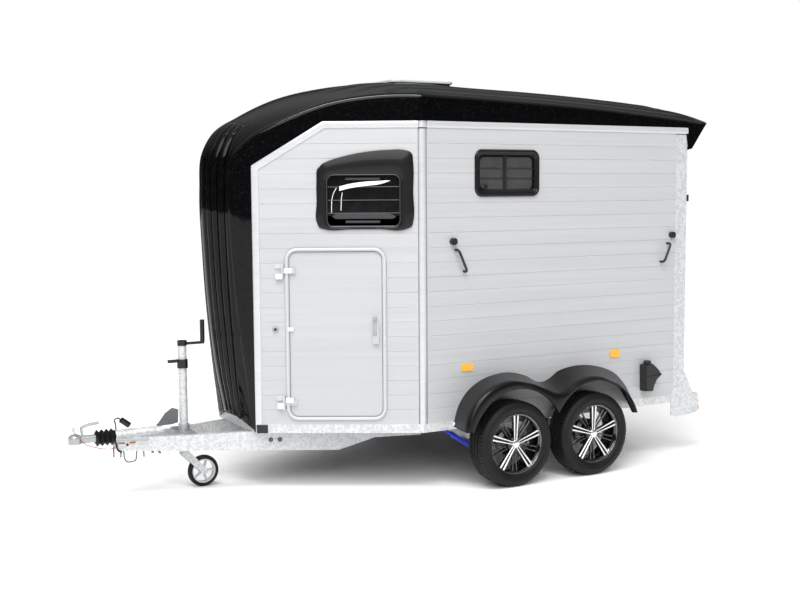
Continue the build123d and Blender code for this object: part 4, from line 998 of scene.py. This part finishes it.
def bead(panel: Panel, outline: np.ndarray, width: float, out: float, sides: int = 8) -> np.ndarray:
    """A half-sunk round bead that follows a closed outline on a panel."""
    path = panel.at(np.column_stack([outline, np.full(len(outline), out)]))
    closed = np.concatenate([path[-1:], path, path[:1]])
    outwards = np.asarray(panel.out, float)
    sideways = unit(np.cross(unit(closed[2:] - closed[:-2]), outwards))
    section = ring(width / 2, sides)
    return path[:, None] + section[None, :, :1] * sideways[:, None] + section[None, :, 1:] * outwards


def closed_line(points: Sequence[Sequence[float]], samples: int) -> np.ndarray:
    """Smooth closed outline: a smooth line over its points and two more at each end, cut to one round."""
    knots = np.asarray(points, float)
    long = np.concatenate([knots[-2:], knots, knots[:2]])
    line = smooth_line(long, samples * 2)
    chord = chord_lengths(long)
    run = np.linspace(0.0, chord[-1], samples * 2)
    return line[(run >= chord[2]) & (run < chord[-2])]


def at_angles(outline: np.ndarray, centre: np.ndarray, wanted: np.ndarray) -> np.ndarray:
    """The outline's points at the wanted turning angles round a centre."""
    turn = np.arctan2(outline[:, 1] - centre[1], outline[:, 0] - centre[0])
    order = np.argsort(turn)
    return np.column_stack(
        [np.interp(wanted, turn[order], outline[order, k], period=2 * math.pi) for k in (0, 1)]
    )


def middle(box: Sequence[float]) -> np.ndarray:
    """Middle of a box given as low, high, floor and top."""
    return np.array([(box[0] + box[1]) / 2, (box[2] + box[3]) / 2])


@dataclass
class FrontWindow:
    """Front panel window: a dark shell with a falling top, and a recessed black pane."""

    outline: tuple = (
        (0.712, 2.120), (0.705, 2.190), (0.676, 2.228), (0.633, 2.250), (0.530, 2.281), (0.427, 2.303),
        (0.325, 2.316), (0.223, 2.322), (0.135, 2.322), (0.092, 2.310), (0.070, 2.282), (0.064, 2.240),
        (0.064, 2.040), (0.064, 1.850), (0.074, 1.812), (0.106, 1.795), (0.300, 1.793), (0.480, 1.793),
        (0.659, 1.794), (0.697, 1.808), (0.713, 1.842), (0.713, 1.980),
    )
    pane: tuple[float, float, float, float] = (0.150, 0.647, 1.808, 2.160)
    pane_radius: float = 0.048
    proud: float = 0.012
    sunk: float = 0.014
    bar_heights: tuple = (2.077, 1.988, 1.901)
    bar_radius: float = 0.0028
    bar_inset: float = 0.008
    shelf: tuple = (
        (0.612, 1.880), (0.576, 1.903), (0.227, 1.901), (0.178, 1.877), (0.200, 1.862), (0.587, 1.863)
    )
    catch_heights: tuple = (2.131, 1.843)
    streak_line: tuple = ((0.560, 2.066), (0.500, 2.081), (0.379, 2.098), (0.300, 2.104), (0.217, 2.118))
    streak_half: float = 0.0145
    streak_samples: int = 24
    streak_legs: tuple = (
        ((0.580, 2.070), (0.600, 2.035), (0.611, 1.990), (0.614, 1.906)),
        ((0.540, 2.040), (0.547, 2.000), (0.549, 1.960), (0.550, 1.920)),
    )
    streak_leg_radius: float = 0.0024
    streak_leg_samples: int = 12

    def shells(self, hole: np.ndarray) -> None:
        """Make all four shells: rings that run from the outer outline to the pane and down into it."""
        turns = np.linspace(-math.pi, math.pi, 181)[:-1]
        rim_out = at_angles(closed_line(self.outline, 150), middle(self.pane), turns)
        rim_in = at_angles(hole, middle(self.pane), turns)
        pull = unit(rim_in - rim_out)
        shell = Shape().grid(FRONT.at(raised((
            (rim_out, -0.026), (rim_out, self.proud - 0.006), (rim_out + pull * 0.0015, self.proud - 0.002),
            (rim_out + pull * 0.005, self.proud), (rim_out + (rim_in - rim_out) * 0.6, self.proud + 0.002),
            (rim_in - pull * 0.008, self.proud + 0.002), (rim_in - pull * 0.002, self.proud - 0.001),
            (rim_in, self.proud - 0.006), (rim_in, -self.sunk - 0.004),
        ))), close_columns=True)
        SideWindow().shell(shell)
        make_pair("window_shells", shell, WINDOW_FRAME, ("window_frames",), 50.0)

    def bars(self, hole: np.ndarray) -> None:
        """Make the pane's bead, its bars, its shelf and its catches."""
        low, high, back = self.pane[0] + self.bar_inset, self.pane[1] - self.bar_inset, -self.sunk - 0.001
        inset = hole + (middle(self.pane) - hole) * 0.012
        trim = Shape().loop(bead(FRONT, inset, 0.007, self.proud - 0.004))
        for height in self.bar_heights:
            ends = np.array([[low, height, -self.sunk + 0.004], [high, height, -self.sunk + 0.004]])
            trim.rod(FRONT.at(ends), self.bar_radius)
        trim.plate(FRONT, np.array(self.shelf), back, -self.sunk + 0.007, 0.002)
        for height in self.catch_heights:
            trim.plate(FRONT, box(0.404, height, 0.235, 0.016, 0.007), back, -self.sunk + 0.010, 0.003)
        make_pair("window_bars", trim, BAR_GREY)

    # Painted reflection: the white band and its two thin lines below stand for a glint on the front pane, not
    # a real rail.
    def rail(self) -> None:
        """Make the painted reflection streak, a glint on the pane: a white curved band as high as 1 - s^6
        along it, and its two thin legs.
        """
        line = smooth_line(self.streak_line, self.streak_samples)
        wide = self.streak_half * (1 - np.linspace(0.0, 1.0, self.streak_samples) ** 6)
        lift = np.column_stack([np.zeros(self.streak_samples), wide])
        band = np.stack([line - lift, line + lift], axis=1)
        front = np.dstack([band, np.full(band.shape[:2], -self.sunk + 0.0075)])
        back = np.dstack([band[:, ::-1], np.full(band.shape[:2], -self.sunk + 0.0015)])
        rail = Shape().solid(FRONT.at(np.concatenate([front, back], axis=1)))
        for leg in self.streak_legs:
            deep = np.full(self.streak_leg_samples, -self.sunk + 0.005)
            path = np.column_stack([smooth_line(leg, self.streak_leg_samples), deep])
            rail.rod(FRONT.at(path), self.streak_leg_radius)
        make_pair("window_painted_reflection_streak", rail, PAINTED_PANE_REFLECTION)

    def build(self) -> None:
        """Make the shells, the bars and the painted reflection streak of both sides."""
        low, high, floor, top = self.pane
        hole = rounded_box(high - low, top - floor, self.pane_radius, 12) + middle(self.pane)
        self.shells(hole)
        self.bars(hole)
        self.rail()


@dataclass
class SideWindow:
    """Main wall window: a thick rounded frame with a stepped inner edge, bars and a catch."""

    outer: tuple[float, float, float, float] = (0.232, 0.774, 2.004, 2.328)
    inner: tuple[float, float, float, float] = (0.268, 0.738, 2.039, 2.293)
    sunk: float = 0.014
    corner: float = 0.058
    steps: tuple = (
        (0.000, -0.026), (0.000, 0.004), (0.002, 0.010), (0.007, 0.014), (0.015, 0.015), (0.021, 0.012),
        (0.023, 0.007), (0.030, 0.006), (0.034, 0.003), (0.036, -0.018),
    )
    bar_heights: tuple[float, float] = (2.200, 2.130)
    bar_radius: float = 0.0032
    knob: tuple[float, float] = (0.312, 2.072)

    def shell(self, shape: Shape) -> None:
        """Add the frame: each step is how far its ring is drawn in and how far it stands out."""
        low, high, floor, top = self.outer
        rings = []
        for drawn, out in self.steps:
            corner = self.corner - drawn * 0.75
            outline = rounded_box(high - low - 2 * drawn, top - floor - 2 * drawn, corner, 10)
            rings.append((outline + middle(self.outer), out))
        shape.grid(SIDE.at(raised(rings)), close_columns=True)

    def build(self) -> None:
        """Make the glazing bars, the catch and the tinted pane, both sides."""
        low, high, floor, top = self.inner
        back, deep = -self.sunk - 0.001, -self.sunk + 0.003
        bars = Shape()
        for height in self.bar_heights:
            bars.rod(SIDE.at(np.array([[low, height, deep], [high, height, deep]])), self.bar_radius)
        upright = box(0.488, (floor + top) / 2, 0.030, top - floor, 0.004)
        bars.plate(SIDE, upright, back, -self.sunk + 0.006, 0.002)
        sill = ((low, floor - 0.004), (high, floor - 0.004), (high, floor + 0.020), (low, floor + 0.010))
        bars.plate(SIDE, np.array(sill), back, -self.sunk + 0.008, 0.002)
        bars.plate(SIDE, ring(0.026, 24) * [1.0, 0.62] + self.knob, -self.sunk, 0.010, 0.004)
        make_pair("side_window_bars", bars, SATIN_BLACK)
        pane = rounded_box(high - low - 0.03, top - floor - 0.03, 0.035, 8) + middle(self.inner)
        tint = Shape().plate(SIDE, pane, -self.sunk - 0.002, -self.sunk + 0.0012, 0.001)
        make_pair("side_window_tint", tint, PANE_GREY)


# Trims and doors


@dataclass
class Trims:
    """Rounded aluminium edge profiles, and corner posts with their caps."""

    width: float = 0.050
    proud: float = 0.0085
    wall_top: float = 2.515
    floor_top: float = 0.465
    front: float = 1.152
    front_top: float = 2.224
    slope: float = 0.669
    rear_end: float = 0.030
    rail_ends: tuple[float, float] = (-0.148, 2.170)
    post_radius: float = 0.0275
    post_centre: tuple[float, float] = (-0.1736, -0.907)
    cap_rings: tuple = ((0.052, 1.10), (0.046, 1.14), (0.002, 1.05))

    def strip(self, panel: Panel, outer: np.ndarray, inner: np.ndarray) -> np.ndarray:
        """Rounded strip between two lines: its height is the root of 1 - |2c - 1|^3 across it.

        Args:
            panel: The plane that it lies on.
            outer: Corners of its outer line.
            inner: Corners of its inner line.

        Returns:
            Corners by columns by three.
        """
        share = np.linspace(0.0, 1.0, 15)
        height = 0.0005 + self.proud * np.sqrt(np.clip(1 - np.abs(2 * share - 1) ** 3.0, 0, 1))
        height = np.concatenate([[-0.02], height, [-0.02]])
        share = np.concatenate([[0.0], share, [1.0]])
        flat = outer[:, None] + (inner - outer)[:, None] * share[None, :, None]
        return panel.at(np.dstack([flat, np.broadcast_to(height, flat.shape[:2])]))

    def post(self, rings: Iterable[tuple[float, float]]) -> np.ndarray:
        """Rings of the corner post, from each one's height and its share of the post's radius."""
        circle = ring(self.post_radius, 40)
        return raised([(circle * size + self.post_centre, height) for height, size in rings])

    def build(self) -> None:
        """Make the strips of both panels, the corner posts, and their caps over dark rings."""
        top, step = self.wall_top, self.width
        slant = math.atan2(top - self.front_top, self.front - self.slope)
        low_bend = step * math.tan((math.pi / 2 - slant) / 2)
        high_bend = step * math.tan(slant / 2)
        outer = np.array([
            [self.front, self.floor_top], [self.front, self.front_top], [self.slope, top],
            [self.rear_end, top],
        ])
        inner = outer - np.array([[step, 0.0], [step, low_bend], [high_bend, step], [0.0, step]])
        rail = np.array([[end, top] for end in self.rail_ends])
        strips = Shape().grid(self.strip(FRONT, outer, inner), caps=True)
        strips.grid(self.strip(SIDE, rail, rail - [0.0, step]), caps=True)
        strips.solid(self.post(((self.floor_top, 1.0), (top - self.cap_rings[0][0], 1.0))))
        make_pair("edge_trims", strips, TRIM, ("wall_trims",), 50.0)
        cap = self.post([(top - down, size) for down, size in self.cap_rings])
        make_pair("post_cap_rings", Shape().solid(cap[:2]), SATIN_BLACK)
        make_pair("post_caps", Shape().solid(cap[1:]), TRIM)


@dataclass
class DoorFittings:
    """Bead round the door, hinge blocks, lock, retaining catch and handle."""

    low: float = 0.492
    high: float = 1.672
    front: float = 0.935
    rear: float = 0.249
    radius: float = 0.085
    hinge_heights: tuple[float, float] = (1.515, 0.632)
    lock: tuple[float, float] = (1.003, 1.119)
    handle: tuple[float, float] = (0.328, 1.140)
    boss_heights: tuple[float, float] = (1.186, 1.096)

    def outline(self, inset: float) -> np.ndarray:
        """Rounded outline of the door opening, smaller by the inset."""
        width = self.front - self.rear - 2 * inset
        height = self.high - self.low - 2 * inset
        centre = middle((self.front, self.rear, self.low, self.high))
        return centre + rounded_box(width, height, self.radius - inset, 14)

    def fixed(self) -> None:
        """Make what stays on the walls: beads, the painted shadow lines beside them, hinge bases and locks.
        """
        beads = Shape().loop(bead(FRONT, self.outline(0.013), 0.021, 0.006, 10))
        make_pair("door_beads", beads, SEAL)
        # Painted shadow: thin dark grey beads just inside and just outside the door's bead.
        lines = Shape()
        for inset in (0.0275, -0.0005):
            lines.loop(bead(FRONT, self.outline(inset), 0.0045, 0.0005, 6))
        make_pair("door_bead_shadows", lines, PAINTED_BEAD_SHADOW)
        bases = Shape()
        for height in self.hinge_heights:
            bases.plate(FRONT, box(0.972, height - 0.037, 0.046, 0.037, 0.005), 0.0, 0.024, 0.004)
        make_pair("hinge_base_blocks", bases, HINGE)
        body = Shape().plate(FRONT, ring(0.021, 28) + self.lock, 0.0, 0.011, 0.004)
        make_pair("door_lock_rings", body, ZINC)
        eye = Shape().plate(FRONT, ring(0.010, 20) + self.lock, 0.004, 0.0125, 0.001)
        make_pair("door_lock_eyes", eye, SATIN_BLACK)

    def build(self) -> None:
        """Make the fixed fittings, then the hinge blocks, catch and handle that swing with each door."""
        self.fixed()
        blocks, pull = Shape(), Shape()
        for height in self.hinge_heights:
            blocks.plate(FRONT, box(0.911, height + 0.002, 0.054, 0.036, 0.005), 0.008, 0.021, 0.003)
        blocks.plate(FRONT, box(0.898, self.lock[1], 0.040, 0.026, 0.005), 0.0, 0.016, 0.003)
        pull.plate(FRONT, box(*self.handle, 0.026, 0.128, 0.010), 0.014, 0.019, 0.002)
        for height in self.boss_heights:
            pull.plate(FRONT, ring(0.0115, 20) + [self.handle[0], height], 0.016, 0.030, 0.003)
        for body, door_blocks, door_pull in (
            ("tack_door", blocks, pull), ("access_door", blocks.mirrored(), pull.mirrored())
        ):
            make_piece(f"{body}_hinge_blocks", door_blocks, HINGE, body)
            make_piece(f"{body}_handle", door_pull, ZINC, body)


# Small fittings

REAR = Panel((2.314, 0.0, 0.0), (0.0, 1.0, 0.0), (1.0, 0.0, 0.0))


@dataclass
class SmallFittings:
    """Wheel chocks, lamps, sill corner blocks and ramp catches of both sides.

    Each block is its name, finish, slot and panel, the middle, size and corner of its outline,
    its back, front and softened edge, and the CAD nodes that it stands for.
    """

    chock: tuple = (
        (1.722, 0.530), (1.794, 0.526), (1.806, 0.566), (1.832, 0.612), (1.880, 0.648), (1.842, 0.692),
        (1.790, 0.735), (1.742, 0.735), (1.716, 0.726),
    )
    chock_rib: tuple = ((1.716, 0.640), (1.850, 0.652), (1.880, 0.648), (1.806, 0.640))
    blocks: tuple = (
        ("front_marker_lamps", LENS_CLEAR, "lamp_red", SIDE,
         (0.080, 0.433, 0.056, 0.046, 0.012), (-0.002, 0.026, 0.006), ()),
        ("tail_lamps", LENS_RED, "lamp_red", REAR,
         (-0.896, 0.342, 0.058, 0.040, 0.008), (0.0, 0.022, 0.004), ("lamps",)),
        ("indicator_lamps", AMBER, "lamp_red", REAR,
         (-0.896, 0.384, 0.058, 0.040, 0.008), (0.0, 0.022, 0.004), ()),
        ("reverse_lamps", LENS_CLEAR, "lamp_red", REAR,
         (-0.896, 0.425, 0.058, 0.038, 0.008), (0.0, 0.022, 0.004), ()),
        ("sill_corner_blocks", SATIN_BLACK, "black_plastic", FRONT,
         (1.104, 0.434, 0.076, 0.058, 0.004), (-0.002, 0.008, 0.003), ()),
        ("ramp_catches", SATIN_BLACK, "black_plastic", SIDE,
         (2.178, 1.980, 0.014, 0.052, 0.005), (-0.040, 0.010, 0.004), ()),
    )

    def build(self) -> None:
        """Make the chocks and each block on both sides."""
        chocks = Shape().plate(SIDE, np.array(self.chock), 0.002, 0.078, 0.006)
        chocks.plate(SIDE, box(1.765, 0.744, 0.046, 0.030, 0.006), 0.020, 0.056, 0.003)
        chocks.plate(SIDE, np.array(self.chock_rib), 0.070, 0.083, 0.002)
        make_pair("chocks", chocks, SATIN_BLACK, ("wheel_chocks",))
        for name, finish, slot, panel, outline, depths, replaces in self.blocks:
            make_pair(name, Shape().plate(panel, box(*outline), *depths), finish, replaces)


# Drawbar and cables


def cable(
    name: str, route: np.ndarray, radius: float, finish: Finish
) -> tuple[bpy.types.Object, float]:
    """A round cable: a quadratic NURBS centreline through close points, with a round bevel.

    Args:
        name: The piece's name.
        route: Points of the centreline, close together.
        radius: Its radius in metres.
        finish: What it is made of.

    Returns:
        The curve object and its length in metres.
    """
    curve = bpy.data.curves.new(name, "CURVE")
    curve.dimensions = "3D"
    curve.bevel_depth = radius
    curve.bevel_resolution = 4
    curve.use_fill_caps = True
    spline = curve.splines.new("NURBS")
    spline.points.add(len(route) - 1)
    spline.points.foreach_set("co", np.column_stack([route, np.ones(len(route))]).ravel())
    spline.order_u = 3
    spline.use_endpoint_u = True
    curve.materials.append(finish.build())
    piece = bpy.data.objects.new(name, curve)
    bpy.context.scene.collection.objects.link(piece)
    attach(piece, "trailer")
    length = float(chord_lengths(route)[-1])
    log.info("%s: %.3f m long", name, length)
    return piece, length


@dataclass
class Drawbar:
    """Bolts, marks, hooks and cables on the drawbar; hooks hang under the rail, in its own plane."""

    spread: float = math.atan(0.25)
    bolts: tuple = ((1.037, 0.339), (1.100, 0.337))
    marks: tuple = ((0.033, 0.3785), (0.103, 0.3785))
    plug: tuple[float, float] = (0.068, 0.3665)
    under: float = -0.010
    hooks: tuple = (
        (((-0.022, 0.352), (-0.021, 0.318), (-0.022, 0.284)), 0.0052),
        (((0.026, 0.352), (0.025, 0.315), (0.024, 0.280)), 0.0052),
        (((0.175, 0.345), (0.175, 0.305), (0.176, 0.276)), 0.0052),
        (((0.232, 0.345), (0.233, 0.320), (0.234, 0.298)), 0.0095),
        (((0.255, 0.345), (0.268, 0.318), (0.285, 0.292)), 0.0080),
        (((0.040, 0.345), (0.044, 0.312), (0.052, 0.262), (0.062, 0.250), (0.098, 0.247), (0.116, 0.252),
          (0.127, 0.300), (0.134, 0.345)), 0.0050),
    )
    rod_line: tuple = ((-0.004, 0.4065, 0.010), (0.100, 0.4025, 0.010), (0.206, 0.3985, 0.010))
    rod_radius: float = 0.0075
    sleeve_line: tuple = (
        (-0.014, 0.398, 0.008), (-0.003, 0.372, 0.010), (0.001, 0.345, 0.010), (0.010, 0.330, 0.010),
        (0.032, 0.319, 0.010),
    )
    sleeve_radius: float = 0.0065
    lead_radius: float = 0.0045
    lead_route: tuple = (
        (-2.036, 0.0, LEAD_FOOT), (-2.036, 0.0, 0.478), (-2.037, 0.0, 0.493), (-2.0425, 0.0, 0.519),
        (-2.0435, 0.0, 0.529), (-2.039, 0.0, 0.5345), (-2.029, 0.0, 0.5385), (-2.0185, 0.0, 0.5395),
        (-2.0095, 0.0, 0.5335), (-2.0003, 0.0, 0.5263),
    )
    wire_radius: float = 0.0025
    wire_route: tuple = (
        (-2.044, -0.055, 0.350), (-2.080, -0.048, 0.346), (-2.128, -0.040, 0.349), (-2.190, -0.038, 0.366),
        (-2.249, -0.037, 0.392), (-2.290, -0.036, 0.432), (-2.315, -0.036, 0.466), (-2.329, -0.036, 0.492),
    )
    route_samples: int = 40
    hook_radius: float = 0.0085
    hook_wire: float = 0.0022

    def rail(self) -> Panel:
        """The outer face of the left rail."""
        along, out = math.cos(self.spread), math.sin(self.spread)
        return Panel((-2.046, -0.050, 0.0), (along, -out, 0.0), (-out, -along, 0.0))

    def wire(self, shape: Shape, points: Sequence[Sequence[float]], radius: float) -> Shape:
        """Add a bent wire against the left rail, from its along, up and out measures."""
        return shape.rod(self.rail().at(smooth_line(points, 20)), radius, 10)

    def rail_parts(self) -> None:
        """Make the small parts of both rails, then those of the left rail alone."""
        rail, bolts, marks, hooks, rod = self.rail(), Shape(), Shape(), Shape(), Shape()
        for place in self.bolts:
            bolts.plate(rail, ring(0.0105, 6) + place, 0.0, 0.009, 0.001)
            bolts.plate(rail, ring(0.017, 24) + place, 0.0, 0.003, 0.001)
        make_pair("rail_bolts", bolts, BRAKE_GREY)
        for place in self.marks:
            marks.plate(rail, box(*place, 0.040, 0.011, 0.002), 0.0, 0.0015, 0.0005)
        make_pair("rail_paint_marks", marks, ORANGE)
        plugs = Shape().plate(rail, ring(0.0085, 16) + self.plug, 0.0, 0.006, 0.002)
        make_pair("rail_hole_plugs", plugs, SATIN_BLACK)
        for points, radius in self.hooks:
            self.wire(hooks, [(along, up, self.under) for along, up in points], radius)
        make_piece("rail_hooks", hooks, BRAKE_GREY)
        self.wire(rod, self.rod_line, self.rod_radius)
        for along in (0.004, 0.196):
            rod.plate(rail, box(along, 0.4055 - along * 0.035, 0.018, 0.024, 0.003), -0.001, 0.019, 0.002)
        make_piece("brake_rod", rod, ZINC)
        sleeve = self.wire(Shape(), self.sleeve_line, self.sleeve_radius)
        make_piece("brake_cable_sleeve", sleeve, SATIN_BLACK)

    def cables(self) -> None:
        """Make the plug's lead, and the breakaway cable with its ring."""
        lead_route = smooth_line(self.lead_route, self.route_samples)
        lead, length = cable("plug_lead_cord", lead_route, self.lead_radius, SATIN_BLACK)
        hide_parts("plug_lead")
        wire_route = smooth_line(self.wire_route, self.route_samples)
        wire, length = cable("breakaway_cable", wire_route, self.wire_radius, CABLE_RED)
        section = ring(self.hook_wire, 8) + [self.hook_radius, 0.0]
        hook = revolve(section, (0.0, 0.0, self.hook_radius), (0.0, 1.0, 0.0), 24)
        place = np.asarray(self.wire_route[-1])
        make_piece("breakaway_hook", Shape().loop(place + hook), BRAKE_GREY)

    def build(self) -> None:
        """Make the rails' parts and the cables."""
        self.rail_parts()
        self.cables()


# Studio


@dataclass
class Studio:
    """Camera at the photograph's place, pale floor and soft light."""

    place: tuple[float, float, float] = (-4.2268, -7.7578, 2.0471)
    azimuth: float = -29.5159
    elevation: float = 5.2665
    roll: float = -0.3764
    focal: float = 1181.686
    frame_width: float = 800.0
    sensor: float = 36.0
    floor_half: float = 60.0

    def camera(self) -> None:
        """Set the camera from its azimuth, elevation, roll and focal length in pixels."""
        turn, rise, roll = (math.radians(v) for v in (self.azimuth, self.elevation, self.roll))
        back = Vector(
            (math.sin(turn) * math.cos(rise), -math.cos(turn) * math.cos(rise), math.sin(rise))
        )
        right = (-back).cross(Vector((0, 0, 1))).normalized()
        up = right.cross(-back)
        across = right * math.cos(roll) + up * math.sin(roll)
        above = up * math.cos(roll) - right * math.sin(roll)
        data = bpy.data.cameras.new("camera")
        data.sensor_width = self.sensor
        data.lens = self.focal * self.sensor / self.frame_width
        data.clip_end = 200.0
        camera = bpy.data.objects.new("camera", data)
        matrix = Matrix((across, above, back)).transposed().to_4x4()
        matrix.translation = Vector(self.place)
        camera.matrix_world = matrix
        bpy.context.scene.collection.objects.link(camera)
        bpy.context.scene.camera = camera

    def lamp(
        self, name: str, place: Sequence[float], aim: Sequence[float], size: tuple[float, float], power: float
    ) -> None:
        """Add a soft rectangular light that faces its aim."""
        data = bpy.data.lights.new(name, "AREA")
        data.shape = "RECTANGLE"
        data.size, data.size_y = size
        data.energy = power
        lamp = bpy.data.objects.new(name, data)
        lamp.location = place
        lamp.rotation_euler = (Vector(aim) - Vector(place)).to_track_quat("-Z", "Y").to_euler()
        bpy.context.scene.collection.objects.link(lamp)

    def floor(self) -> None:
        """Add the square floor, which isn't part of the object."""
        size = self.floor_half
        corners = [(-size, -size, 0.0), (size, -size, 0.0), (size, size, 0.0), (-size, size, 0.0)]
        mesh = bpy.data.meshes.new("studio_floor")
        mesh.from_pydata(corners, [], [(0, 1, 2, 3)])
        mesh.materials.append(FLOOR.build())
        floor = bpy.data.objects.new("studio_floor", mesh)
        bpy.context.scene.collection.objects.link(floor)

    def sun(self) -> None:
        """Add the broad key light."""
        sun = bpy.data.lights.new("key", "SUN")
        sun.energy = 1.5
        sun.angle = math.radians(45.0)
        key = bpy.data.objects.new("key", sun)
        key.rotation_euler = Vector((0.42, 0.70, -0.62)).to_track_quat("-Z", "Y").to_euler()
        bpy.context.scene.collection.objects.link(key)

    def build(self) -> None:
        """Make the camera, the floor, the world light and the lamps."""
        self.camera()
        self.floor()
        self.world()
        self.sun()
        self.lamp("strip", (-2.5, -3.0, 7.5), (0.5, -0.6, 2.6), (6.0, 0.7), 360.0)
        bpy.context.scene.view_settings.view_transform = "Standard"

    def world(self) -> None:
        """World light: white to the eye, and for light and reflections dark low down, bright overhead."""
        world = bpy.data.worlds.new("studio")
        world.use_nodes = True
        tree = world.node_tree
        tree.nodes.clear()
        place = add_node(tree, "ShaderNodeTexCoord")
        parts = add_node(tree, "ShaderNodeSeparateXYZ", {"Vector": place.outputs["Generated"]})
        glow = add_node(
            tree, "ShaderNodeMapRange",
            {"Value": parts.outputs["Z"], "From Min": 0.30, "From Max": 0.75, "To Min": 0.10, "To Max": 1.20},
        )
        path = add_node(tree, "ShaderNodeLightPath")
        half = add_node(tree, "ShaderNodeMath", {0: glow.outputs["Result"], 1: 0.5}, operation="MULTIPLY")
        mirrored = add_node(
            tree, "ShaderNodeMix",
            {0: path.outputs["Is Glossy Ray"], 2: glow.outputs["Result"], 3: half.outputs[0]},
            data_type="FLOAT",
        )
        seen = add_node(
            tree, "ShaderNodeMix", {0: path.outputs["Is Camera Ray"], 2: mirrored.outputs[0], 3: 1.0},
            data_type="FLOAT",
        )
        shown = {"Color": linear("#ffffff"), "Strength": seen.outputs[0]}
        light = add_node(tree, "ShaderNodeBackground", shown)
        add_node(tree, "ShaderNodeOutputWorld", {"Surface": light.outputs["Background"]})
        bpy.context.scene.world = world


# Dressing of CAD nodes


def dress_nodes(nodes: dict[str, bpy.types.Object]) -> None:
    """Give each CAD node the finish of the longest key that its name starts with.

    Args:
        nodes: The CAD nodes by name.
    """
    for name, piece in nodes.items():
        finish = NODE_FINISHES[max((key for key in NODE_FINISHES if name.startswith(key)), key=len)]
        piece.data.materials.clear()
        piece.data.materials.append(finish.build())
        log.info("%s: %s", name, finish.name)


def main() -> None:
    """Build every sub-assembly in order."""
    logging.basicConfig(level=logging.INFO, format="%(name)s %(message)s", stream=sys.stdout)
    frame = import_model()
    Studio().build()
    dress_nodes(frame["nodes"])
    Moulding().build()
    for name, axle_x, side in (
        ("front_left", 0.430, -1), ("rear_left", 1.111, -1), ("front_right", 0.430, 1),
        ("rear_right", 1.111, 1),
    ):
        Wheel(name, axle_x, side).build()
    for side in (-1, 1):
        Mudguard(side).build()
    FrontWindow().build()
    SideWindow().build()
    Trims().build()
    DoorFittings().build()
    SmallFittings().build()
    Drawbar().build()


if __name__ == "__main__":
    main()
